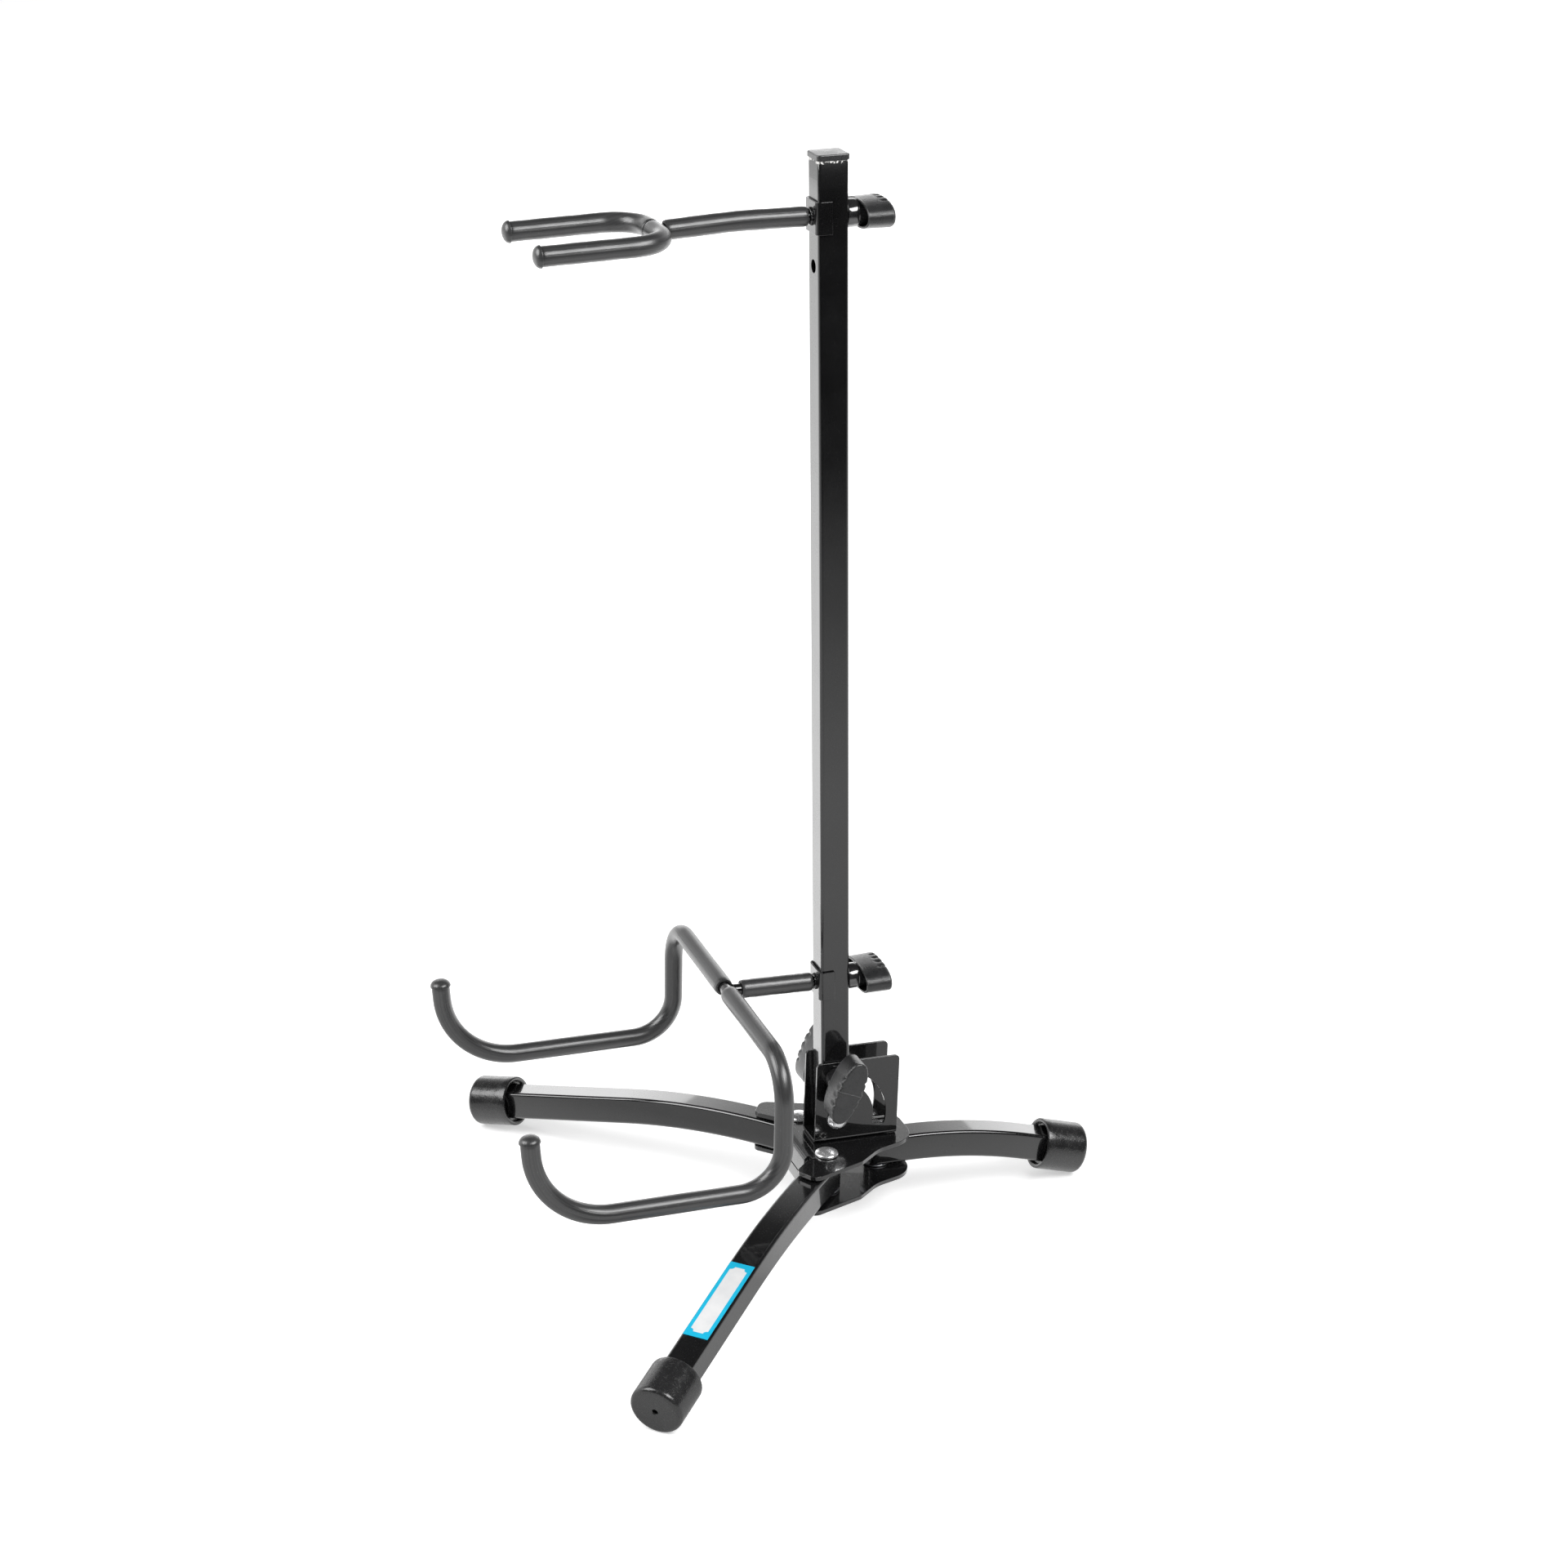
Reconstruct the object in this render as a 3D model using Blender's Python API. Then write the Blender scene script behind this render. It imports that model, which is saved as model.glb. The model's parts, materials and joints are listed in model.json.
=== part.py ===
"""Folding floor stand for a guitar, in metres, +Z up, standing on Z = 0.

The arms point to -Y and the single rear leg to +Y. The stand is a mirror
image of itself across the Y-Z plane. A tilted hub of two plates carries three
bent legs and a U bracket, and the mast turns in the bracket about an X axis.
"""
import bpy
import bmesh
from math import atan2, ceil, cos, degrees, pi, radians, sin, sqrt, tan
from mathutils import Matrix, Vector

# Fits
CLEARANCE = 0.0003
FINE_ARC = radians(18)
COARSE_ARC = radians(45)

# Square steel tube of the mast and the legs
TUBE_SIDE = 0.0200
TUBE_WALL = 0.0012
TUBE_CORNER = 0.0022

# Mast and its pivot
PIVOT_HEIGHT = 0.0805
MAST_LEAN = radians(0.5)
MAST_ABOVE_YOKE = 0.0350
MAST_BELOW_PIVOT = 0.0100
CAP_RIM = 0.0008
CAP_HEIGHT = 0.0038
CAP_STEM = 0.0120

# Round steel rod of the arms, the studs and the rivets
ROD_DIAMETER = 0.0080

# U bracket, in hub coordinates centred on the pivot
HUB_TILT = radians(2.7)
CHEEK_FRONT = 0.0160
CHEEK_REAR = 0.0440
CHEEK_TOP = 0.0425
CHEEK_CORNER = 0.0030
BRACKET_SHEET = 0.0020
BRACKET_SIDE_GAP = 0.0004
WEB_BELOW_PIVOT = 0.0155
SLOT_RADIUS = 0.0308
SLOT_WIDTH = 0.0092
SLOT_FRONT = radians(4.0)
SLOT_REAR = radians(97.0)

# Hub plates and the leg rivets
PLATE_SHEET = 0.0030
LEG_WASHER = 0.0011
WASHER_DIAMETER = 0.0190
BEND_OUTER = 0.0042
FLANGE_FACE = 0.0287
FLANGE_DROP = 0.0160
SEAM_GAP = 0.0009
FRONT_RIVET_X = 0.0285
FRONT_RIVET_Y = -0.0130
REAR_RIVET_Y = 0.0340
RIVET_HEAD = 0.0160
RIVET_DOME = 0.0042
PIVOT_HEAD = 0.0150
PIVOT_DOME = 0.0032

# Legs: level by the rivet, then an arc, then straight into the foot
FRONT_HEADING = radians(47)
FRONT_LEVEL = 0.0215
FRONT_ARC_RADIUS = 0.5400
FRONT_LENGTH = 0.2680
REAR_LEVEL = 0.0200
REAR_ARC_RADIUS = 0.3500
REAR_LENGTH = 0.1565

# Rubber feet
FOOT_DIAMETER = 0.0358
FOOT_LENGTH = 0.0320
FOOT_END = 0.0045
FOOT_ROUND = 0.0030
FOOT_HOLE = 0.0040
FOOT_FLAT = 0.0005

# Hand knobs: a round boss and an oval shell that is open towards the boss
KNOB_LONG = 0.0457
KNOB_SHORT = 0.0186
KNOB_LENGTH = 0.0260
KNOB_WALL = 0.0018
BOSS_DIAMETER = 0.0178
BOSS_LENGTH = 0.0080
STUD_BITE = 0.0190
CLAMP_KNOB_TURN = radians(24)

# Clips that seat the arms on the mast
CLIP_SHEET = 0.0015
CLIP_HEIGHT = 0.0205
CLIP_REACH = 0.0088

# Soft sleeves and tip caps
SLEEVE_DIAMETER = 0.0126
SLEEVE_WALL = 0.0018
TIP_CAP_DIAMETER = 0.0142
TIP_CAP_LENGTH = 0.0120

# Neck yoke, heights above the pivot
YOKE_HEIGHT = 0.6220
YOKE_SAG = 0.0015
YOKE_ARCH = 0.0014
YOKE_ARCH_RADIUS = 0.4000
FORK_BACK = 0.1128
FORK_HALF = 0.0368
FORK_TIP = 0.1962
FORK_TIP_SAG = 0.0015
FORK_BEND = 0.0240
FORK_BARE = 0.0070
YOKE_SLEEVE_FRONT = 0.0050
YOKE_SLEEVE_REAR = 0.0026
SPARE_HOLE_DROP = 0.0315

# Body cradle, heights above the pivot
CRADLE_HEIGHT = 0.1005
CRADLE_RISE = 0.0028
CRADLE_BACK = 0.0742
CRADLE_HALF = 0.1206
CRADLE_TOP_BEND = 0.0285
CRADLE_LOW_REAR = 0.0766
CRADLE_LOW_REAR_Z = 0.0168
CRADLE_REAR_BEND = 0.0290
CRADLE_LOW_FRONT = 0.2400
CRADLE_LOW_FRONT_Z = 0.0212
CRADLE_FRONT_BEND = 0.0530
CRADLE_TIP = 0.2434
CRADLE_TIP_Z = 0.0829
CRADLE_BARE = 0.0060
CRADLE_SLEEVE_REAR = 0.0030
CRADLE_SLEEVE_FRONT = 0.0055

# Plain label on top of the left front leg
LABEL_START = 0.1345
LABEL_LENGTH = 0.0730
LABEL_WIDTH = 0.0172
LABEL_THICKNESS = 0.0003

# Values that follow from the sizes above
MAST_ABOVE_PIVOT = YOKE_HEIGHT + MAST_ABOVE_YOKE
HALF_TUBE = TUBE_SIDE / 2
ROD_RADIUS = ROD_DIAMETER / 2
ROD_HOLE = ROD_RADIUS + CLEARANCE
BRACKET_INNER = HALF_TUBE + BRACKET_SIDE_GAP
BRACKET_OUTER = BRACKET_INNER + BRACKET_SHEET
WEB_BOTTOM = -(WEB_BELOW_PIVOT + BRACKET_SHEET)
UPPER_TOP = WEB_BOTTOM - CLEARANCE
UPPER_BOTTOM = UPPER_TOP - PLATE_SHEET
LEG_SPACE = TUBE_SIDE + 2 * (LEG_WASHER + 2 * CLEARANCE)
LEG_Z = UPPER_BOTTOM - LEG_SPACE / 2
LOWER_TOP = UPPER_BOTTOM - LEG_SPACE
LOWER_BOTTOM = LOWER_TOP - PLATE_SHEET
FLANGE_INNER = FLANGE_FACE - PLATE_SHEET
BEND_START = FLANGE_FACE - BEND_OUTER
FLANGE_HALF = FRONT_RIVET_X - (
    HALF_TUBE + CLEARANCE - (FLANGE_INNER + FRONT_RIVET_Y) * sin(FRONT_HEADING)
) / cos(FRONT_HEADING)
FOOT_RADIUS = FOOT_DIAMETER / 2
FOOT_BORE = FOOT_LENGTH - FOOT_END
KNOB_SEAT = HALF_TUBE + CLEARANCE
STUD_END = KNOB_SEAT + STUD_BITE
CLIP_INNER = HALF_TUBE + CLEARANCE
CLIP_OUTER = CLIP_INNER + CLIP_SHEET
SLEEVE_RADIUS = SLEEVE_DIAMETER / 2
SLEEVE_BORE = SLEEVE_RADIUS - SLEEVE_WALL
TIP_CAP_RADIUS = TIP_CAP_DIAMETER / 2


def material(name, colour, roughness, metallic=0.0):
    """Principled material with one colour, roughness and metallic value."""
    made = bpy.data.materials.new(name)
    made.use_nodes = True
    shader = made.node_tree.nodes["Principled BSDF"]
    shader.inputs["Base Color"].default_value = (*colour, 1.0)
    shader.inputs["Roughness"].default_value = roughness
    shader.inputs["Metallic"].default_value = metallic
    return made


def empty(name, parent=None, location=(0, 0, 0), rotation=(0, 0, 0)):
    """Empty that marks an axis and carries the pieces built around it."""
    made = bpy.data.objects.new(name, None)
    made.empty_display_size = 0.03
    made.parent = parent
    made.location = location
    made.rotation_euler = rotation
    bpy.context.scene.collection.objects.link(made)
    return made


def solid(name, points, faces, parent=None, look=None):
    """Object from points and faces, with every face turned outwards."""
    mesh = bpy.data.meshes.new(name)
    mesh.from_pydata([tuple(p) for p in points], [], faces)
    work = bmesh.new()
    work.from_mesh(mesh)
    bmesh.ops.recalc_face_normals(work, faces=work.faces)
    work.to_mesh(mesh)
    work.free()
    if look:
        mesh.materials.append(look)
    made = bpy.data.objects.new(name, mesh)
    made.parent = parent
    bpy.context.scene.collection.objects.link(made)
    return made


def carve(target, cutter, operation="DIFFERENCE"):
    """Apply an exact Boolean to the target and remove the cutter."""
    step = target.modifiers.new("carve", "BOOLEAN")
    step.operation = operation
    step.solver = "EXACT"
    step.object = cutter
    bpy.context.view_layer.update()
    graph = bpy.context.evaluated_depsgraph_get()
    carved = bpy.data.meshes.new_from_object(target.evaluated_get(graph))
    target.modifiers.clear()
    target.data = carved
    bpy.data.objects.remove(cutter)


def rounded(corners, closed=True, step=FINE_ARC):
    """Points through corners given as (place, radius), each with a tangent arc."""
    points = []
    count = len(corners)
    for i, (place, radius) in enumerate(corners):
        here = Vector(place).to_3d()
        inside = closed or 0 < i < count - 1
        if radius <= 0 or not inside:
            points.append(here)
            continue
        before = (Vector(corners[i - 1][0]).to_3d() - here).normalized()
        after = (Vector(corners[(i + 1) % count][0]).to_3d() - here).normalized()
        half = before.angle(after) / 2
        reach = radius / tan(half)
        centre = here + (before + after).normalized() * (radius / sin(half))
        start = here + before * reach - centre
        finish = here + after * reach - centre
        axis = start.cross(finish).normalized()
        turn = pi - 2 * half
        steps = max(1, ceil(turn / step - 0.01))
        for k in range(steps + 1):
            points.append(centre + Matrix.Rotation(turn * k / steps, 3, axis) @ start)
    return points


def rounded_square(half, radius, step=COARSE_ARC):
    """Square outline about the origin with rounded corners."""
    places = [(half, half), (-half, half), (-half, -half), (half, -half)]
    return rounded([(p, radius) for p in places], step=step)


def circle(radius, sides):
    """Regular outline about the origin."""
    turns = [2 * pi * k / sides for k in range(sides)]
    return [Vector((radius * cos(t), radius * sin(t), 0)) for t in turns]


def oval(half_long, half_short, sides=24, fullness=2.5):
    """Oval outline, long along X, fuller at its corners than an ellipse."""
    points = []
    for k in range(sides):
        c = cos(2 * pi * k / sides)
        s = sin(2 * pi * k / sides)
        x = half_long * abs(c) ** (2 / fullness) * (1 if c >= 0 else -1)
        y = half_short * abs(s) ** (2 / fullness) * (1 if s >= 0 else -1)
        points.append(Vector((x, y, 0)))
    return points


def stack(name, rings, parent=None, look=None):
    """Closed solid through outlines of equal count, each at its own height."""
    count = len(rings[0][0])
    points = [Vector((p.x, p.y, z)) for outline, z in rings for p in outline]
    faces = [list(range(count))]
    for i in range(len(rings) - 1):
        for j in range(count):
            a = i * count + j
            b = i * count + (j + 1) % count
            faces.append([a, b, b + count, a + count])
    faces.append(list(range(len(points) - count, len(points))))
    return solid(name, points, faces, parent, look)


def prism(name, outline, low, high, parent=None, look=None):
    """Outline in X-Y extruded along Z."""
    return stack(name, [(outline, low), (outline, high)], parent, look)


def prism_along_x(name, outline, low, high, parent=None, look=None):
    """Outline given as (y, z) extruded along X."""
    count = len(outline)
    points = [Vector((x, p.x, p.y)) for x in (low, high) for p in outline]
    faces = [list(range(count)), list(range(count, 2 * count))]
    for j in range(count):
        k = (j + 1) % count
        faces.append([j, k, k + count, j + count])
    return solid(name, points, faces, parent, look)


def rod_cutter(name, radius, length, axis, parent, location=(0, 0, 0), sides=16):
    """Round cutter along X, Y or Z, centred on its location."""
    cutter = prism(name, circle(radius, sides), -length / 2, length / 2, parent)
    turn = {"X": (0, pi / 2, 0), "Y": (pi / 2, 0, 0), "Z": (0, 0, 0)}[axis]
    cutter.rotation_euler = turn
    cutter.location = location
    return cutter


def lathe(name, profile, parent=None, look=None, sides=24, bored=False):
    """Turn (radius, height) points about Z: pole to pole, or a closed loop."""
    points = []
    starts = []
    for radius, height in profile:
        starts.append(len(points))
        if radius == 0:
            points.append(Vector((0, 0, height)))
        else:
            points += [p + Vector((0, 0, height)) for p in circle(radius, sides)]
    faces = []
    pairs = list(zip(range(len(profile) - 1), range(1, len(profile))))
    if bored:
        pairs.append((len(profile) - 1, 0))
    for i, k in pairs:
        for j in range(sides):
            n = (j + 1) % sides
            low = [starts[i]] if profile[i][0] == 0 else [starts[i] + j, starts[i] + n]
            top = [starts[k]] if profile[k][0] == 0 else [starts[k] + n, starts[k] + j]
            faces.append(low + top)
    return solid(name, points, faces, parent, look)


def sweep(name, path, outer, inner, side, parent=None, look=None):
    """Carry an outline along a path, hollow where an inner outline is given."""
    count = len(outer)
    loops = [outer] + ([inner] if inner else [])
    points = []
    last = None
    across = Vector(side)
    for i, place in enumerate(path):
        ahead = path[min(i + 1, len(path) - 1)] - place
        behind = place - path[max(i - 1, 0)]
        along = (ahead.normalized() + behind.normalized()).normalized()
        if last:
            across = last.rotation_difference(along) @ across
        last = along
        up = along.cross(across).normalized()
        for loop in loops:
            points += [place + across * p.x + up * p.y for p in loop]
    per = count * len(loops)
    faces = []
    for i in range(len(path) - 1):
        for n in range(len(loops)):
            for j in range(count):
                a = i * per + n * count + j
                b = i * per + n * count + (j + 1) % count
                faces.append([a, b, b + per, a + per])
    final = (len(path) - 1) * per
    for base in (0, final):
        if inner:
            for j in range(count):
                k = (j + 1) % count
                faces.append([base + j, base + k, base + count + k, base + count + j])
        else:
            faces.append([base + j for j in range(count)])
    return solid(name, points, faces, parent, look)


def length_of(path):
    """Length along a path of points."""
    return sum((b - a).length for a, b in zip(path, path[1:]))


def stretch(path, start, end):
    """The part of a path between two distances along it."""
    points = []
    travelled = 0.0
    for a, b in zip(path, path[1:]):
        span = (b - a).length
        if not points and travelled + span > start:
            points.append(a.lerp(b, (start - travelled) / span))
        if points and travelled + span >= end:
            points.append(a.lerp(b, (end - travelled) / span))
            return points
        travelled += span
        if points and (b - points[-1]).length > CLEARANCE:
            points.append(b.copy())
    return points


# Scene and materials
for old in list(bpy.data.objects):
    bpy.data.objects.remove(old)
BLACK_PAINT = material("black_paint", (0.012, 0.012, 0.013), 0.28)
CHROME = material("chrome", (0.80, 0.80, 0.82), 0.14, 1.0)
ZINC = material("zinc_washer", (0.52, 0.53, 0.55), 0.35, 1.0)
FOOT_RUBBER = material("foot_rubber", (0.022, 0.022, 0.023), 0.62)
SLEEVE_VINYL = material("sleeve_vinyl", (0.085, 0.086, 0.088), 0.52)
KNOB_PLASTIC = material("knob_plastic", (0.030, 0.031, 0.033), 0.55)
CAP_PLASTIC = material("cap_plastic", (0.018, 0.018, 0.019), 0.42)
LABEL_FACE = material("label_face", (0.62, 0.80, 0.84), 0.40)

root = empty("stand_origin")
hub = empty("hub_axis", root, (0, 0, PIVOT_HEIGHT), (-HUB_TILT, 0, 0))
mast_axis = empty("mast_axis", root, (0, 0, PIVOT_HEIGHT), (-MAST_LEAN, 0, 0))


# Mast: a square tube with cross holes for the pivot, the clamp and the arms
tube_outer = rounded_square(HALF_TUBE, TUBE_CORNER)
tube_inner = rounded_square(HALF_TUBE - TUBE_WALL, TUBE_CORNER - TUBE_WALL)
mast_line = [Vector((0, 0, -MAST_BELOW_PIVOT)), Vector((0, 0, MAST_ABOVE_PIVOT))]
mast = sweep("mast", mast_line, tube_outer, tube_inner, (1, 0, 0), mast_axis, BLACK_PAINT)
across_x = [(0.0, ROD_HOLE), (SLOT_RADIUS, ROD_HOLE)]
across_y = [CRADLE_HEIGHT, YOKE_HEIGHT, YOKE_HEIGHT - SPARE_HOLE_DROP]
for height, radius in across_x:
    carve(mast, rod_cutter("hole", radius, 2 * TUBE_SIDE, "X", mast_axis, (0, 0, height)))
for height in across_y:
    carve(mast, rod_cutter("hole", ROD_HOLE, 2 * TUBE_SIDE, "Y", mast_axis, (0, 0, height)))

# Cap pressed into the top of the mast, stem inside and rim outside
stem_half = HALF_TUBE - TUBE_WALL - CLEARANCE
stem = rounded_square(stem_half, TUBE_CORNER - TUBE_WALL)
rim = rounded_square(HALF_TUBE + CAP_RIM, TUBE_CORNER + CAP_RIM)
rim_top = rounded_square(HALF_TUBE + CAP_RIM - CAP_HEIGHT / 4, TUBE_CORNER)
cap_base = MAST_ABOVE_PIVOT + CLEARANCE
stack(
    "mast_cap",
    [
        (stem, cap_base - CAP_STEM),
        (stem, cap_base),
        (rim, cap_base),
        (rim, cap_base + CAP_HEIGHT * 0.72),
        (rim_top, cap_base + CAP_HEIGHT),
    ],
    mast_axis,
    CAP_PLASTIC,
)

# U bracket: two cheeks and a web, cut to the cheek outline
bracket_corners = [
    ((-BRACKET_OUTER, CHEEK_TOP * 1.2), 0),
    ((-BRACKET_OUTER, WEB_BOTTOM), BRACKET_SHEET * 1.5),
    ((BRACKET_OUTER, WEB_BOTTOM), BRACKET_SHEET * 1.5),
    ((BRACKET_OUTER, CHEEK_TOP * 1.2), 0),
    ((BRACKET_INNER, CHEEK_TOP * 1.2), 0),
    ((BRACKET_INNER, -WEB_BELOW_PIVOT), BRACKET_SHEET * 0.5),
    ((-BRACKET_INNER, -WEB_BELOW_PIVOT), BRACKET_SHEET * 0.5),
    ((-BRACKET_INNER, CHEEK_TOP * 1.2), 0),
]
channel_outline = rounded(bracket_corners, step=COARSE_ARC)
bracket = prism(
    "pivot_bracket", channel_outline, -CHEEK_REAR * 1.2, CHEEK_FRONT * 1.4, hub, BLACK_PAINT
)
bracket.rotation_euler = (pi / 2, 0, 0)
cheek_corners = [
    ((-CHEEK_FRONT, CHEEK_TOP), CHEEK_CORNER),
    ((-CHEEK_FRONT, WEB_BOTTOM - BRACKET_SHEET), 0),
    ((CHEEK_REAR, WEB_BOTTOM - BRACKET_SHEET), 0),
    ((CHEEK_REAR, CHEEK_TOP), CHEEK_CORNER),
]
cheek_outline = rounded(cheek_corners, step=COARSE_ARC)
carve(bracket, prism_along_x("cheeks", cheek_outline, -0.03, 0.03, hub), "INTERSECT")

# Curved slot in both cheeks, for the clamp stud, with round ends
slot_points = []
slot_steps = 12
slot_sweep = SLOT_REAR + SLOT_FRONT
for k in range(slot_steps + 1):
    angle = -SLOT_FRONT + slot_sweep * k / slot_steps
    far = SLOT_RADIUS + SLOT_WIDTH / 2
    slot_points.append(Vector((far * sin(angle), far * cos(angle), 0)))
for k in range(1, 6):
    turn = SLOT_REAR + pi * k / 6
    base = Vector((SLOT_RADIUS * sin(SLOT_REAR), SLOT_RADIUS * cos(SLOT_REAR), 0))
    slot_points.append(base + Vector((sin(turn), cos(turn), 0)) * SLOT_WIDTH / 2)
for k in range(slot_steps + 1):
    angle = SLOT_REAR - slot_sweep * k / slot_steps
    near = SLOT_RADIUS - SLOT_WIDTH / 2
    slot_points.append(Vector((near * sin(angle), near * cos(angle), 0)))
for k in range(1, 6):
    turn = -SLOT_FRONT + pi + pi * k / 6
    base = Vector((SLOT_RADIUS * sin(-SLOT_FRONT), SLOT_RADIUS * cos(-SLOT_FRONT), 0))
    slot_points.append(base + Vector((sin(turn), cos(turn), 0)) * SLOT_WIDTH / 2)
carve(bracket, prism_along_x("slot", slot_points, -0.03, 0.03, hub))
carve(bracket, rod_cutter("pivot_hole", ROD_HOLE, 0.06, "X", hub))

# Notch in the web that clears the head of the rear leg's rivet
notch_half = RIVET_HEAD / 2 + 0.0010
notch_corners = [
    ((-notch_half, REAR_RIVET_Y - notch_half), notch_half * 0.98),
    ((notch_half, REAR_RIVET_Y - notch_half), notch_half * 0.98),
    ((notch_half, CHEEK_REAR * 1.5), 0),
    ((-notch_half, CHEEK_REAR * 1.5), 0),
]
notch_low = WEB_BOTTOM - BRACKET_SHEET
notch_top = -WEB_BELOW_PIVOT + BRACKET_SHEET
carve(bracket, prism("notch", rounded(notch_corners), notch_low, notch_top, hub))

# Hub plates: one outline, mirrored, with a bent flange along the front
half_outline = [
    ((FLANGE_HALF, -BEND_START), 0),
    ((0.0310, -BEND_START), 0),
    ((0.0310, -0.0218), 0),
    ((0.0330, -0.0218), 0),
    ((0.0330, -0.0285), 0),
    ((0.0450, -0.0405), 0.0050),
    ((0.0595, -0.0315), 0.0070),
    ((0.0445, 0.0075), 0.0020),
    ((0.0305, 0.0243), 0.0300),
    ((0.0205, 0.0545), 0.0195),
]
mirrored = [((-x, y), r) for (x, y), r in reversed(half_outline)]
plate_outline = rounded(half_outline + mirrored, step=FINE_ARC)
rivet_places = [
    ("front_left", FRONT_RIVET_X, FRONT_RIVET_Y),
    ("front_right", -FRONT_RIVET_X, FRONT_RIVET_Y),
    ("rear", 0.0, REAR_RIVET_Y),
]


def hub_plate(name, outer_z, inner_z, edge_z):
    """Flat plate with a front flange that turns from outer_z towards edge_z."""
    plate = prism(name, plate_outline, min(outer_z, inner_z), max(outer_z, inner_z), hub, BLACK_PAINT)
    way = 1 if outer_z > edge_z else -1
    bend_inner = BEND_OUTER - PLATE_SHEET
    centre = Vector((-BEND_START, outer_z - way * BEND_OUTER, 0))
    turns = [pi / 2 * k / 6 for k in range(7)]
    profile = [Vector((-BEND_START + 0.004, outer_z, 0))]
    profile += [centre + Vector((-sin(t), way * cos(t), 0)) * BEND_OUTER for t in turns]
    profile += [Vector((-FLANGE_FACE, edge_z, 0)), Vector((-FLANGE_INNER, edge_z, 0))]
    profile += [centre + Vector((-sin(t), way * cos(t), 0)) * bend_inner for t in reversed(turns)]
    profile += [Vector((-BEND_START + 0.004, inner_z, 0))]
    flange = prism_along_x("flange", profile, -FLANGE_HALF, FLANGE_HALF, hub)
    carve(plate, flange, "UNION")
    for place, x, y in rivet_places:
        spot = (x, y, (outer_z + inner_z) / 2)
        carve(plate, rod_cutter("hole", ROD_HOLE, 4 * PLATE_SHEET, "Z", hub, spot))
    return plate


seam_top = UPPER_TOP - FLANGE_DROP
hub_plate("hub_plate_upper", UPPER_TOP, UPPER_BOTTOM, seam_top)
hub_plate("hub_plate_lower", LOWER_BOTTOM, LOWER_TOP, seam_top - SEAM_GAP)


def rivet_profile(shank_low, shank_top, head_radius, dome):
    """Rivet with a domed head at each end of its shank."""
    edge = dome * 0.25
    low = shank_low - CLEARANCE
    top = shank_top + CLEARANCE
    arc = [pi / 2 * k / 3 for k in range(1, 3)]
    head = [(head_radius * cos(t), edge + (dome - edge) * sin(t)) for t in arc]
    profile = [(0, low - dome)]
    profile += [(r, low - h) for r, h in reversed(head)]
    profile += [(head_radius, low - edge), (head_radius, low), (ROD_RADIUS, low)]
    profile += [(ROD_RADIUS, top), (head_radius, top), (head_radius, top + edge)]
    profile += [(r, top + h) for r, h in head]
    profile += [(0, top + dome)]
    return profile


# Leg rivets and the washers above and below each leg
leg_rivet = rivet_profile(LOWER_BOTTOM, UPPER_TOP, RIVET_HEAD / 2, RIVET_DOME)
washer_bore = ROD_RADIUS + CLEARANCE
washer_edge = WASHER_DIAMETER / 2
washer_profile = [
    (washer_bore, -LEG_WASHER / 2),
    (washer_edge, -LEG_WASHER / 2),
    (washer_edge, LEG_WASHER / 2),
    (washer_bore, LEG_WASHER / 2),
]
washer_upper_z = UPPER_BOTTOM - CLEARANCE - LEG_WASHER / 2
washer_lower_z = LOWER_TOP + CLEARANCE + LEG_WASHER / 2
for place, x, y in rivet_places:
    rivet = lathe("leg_rivet_" + place, leg_rivet, hub, CHROME, sides=16)
    rivet.location = (x, y, 0)
    for level, z in (("upper", washer_upper_z), ("lower", washer_lower_z)):
        name = "leg_washer_" + place + "_" + level
        washer = lathe(name, washer_profile, hub, ZINC, sides=16, bored=True)
        washer.location = (x, y, z)

# Mast pivot: a rivet along X through both cheeks and the mast
pivot_rivet = lathe(
    "mast_pivot_rivet",
    rivet_profile(-BRACKET_OUTER, BRACKET_OUTER, PIVOT_HEAD / 2, PIVOT_DOME),
    hub,
    CHROME,
    sides=16,
)
pivot_rivet.rotation_euler = (0, pi / 2, 0)


def leg_path(level, radius, bend, length):
    """Centre line of a leg from behind its rivet to the end of its foot."""
    points = [Vector((-1.2 * HALF_TUBE, 0, 0)), Vector((0, 0, 0))]
    steps = max(4, ceil(bend / radians(2.2)))
    for k in range(steps + 1):
        t = bend * k / steps
        points.append(Vector((level + radius * sin(t), 0, radius * (cos(t) - 1))))
    run = length - level - radius * bend
    points.append(points[-1] + Vector((cos(bend), 0, -sin(bend))) * run)
    return points


def lowest(start_y, heading_y, level, radius, bend, length):
    """Lowest point of the rounded foot above the floor, for one bend angle."""
    end = leg_path(level, radius, bend, length)[-1]
    back = end - Vector((cos(bend), 0, -sin(bend))) * FOOT_ROUND
    climb = -cos(bend) * heading_y * sin(HUB_TILT) - sin(bend) * cos(HUB_TILT)
    y = start_y + back.x * heading_y
    z = PIVOT_HEIGHT - y * sin(HUB_TILT) + (LEG_Z + back.z) * cos(HUB_TILT)
    return z - (FOOT_RADIUS - FOOT_ROUND) * sqrt(1 - climb * climb) - FOOT_ROUND


def solve_bend(start_y, heading_y, level, radius, length):
    """Bend angle that brings the foot to the floor, less the worn flat."""
    low, high = 0.0, (length - level - FOOT_LENGTH) / radius
    for k in range(40):
        middle = (low + high) / 2
        if lowest(start_y, heading_y, level, radius, middle, length) > -FOOT_FLAT:
            low = middle
        else:
            high = middle
    return (low + high) / 2


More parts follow.
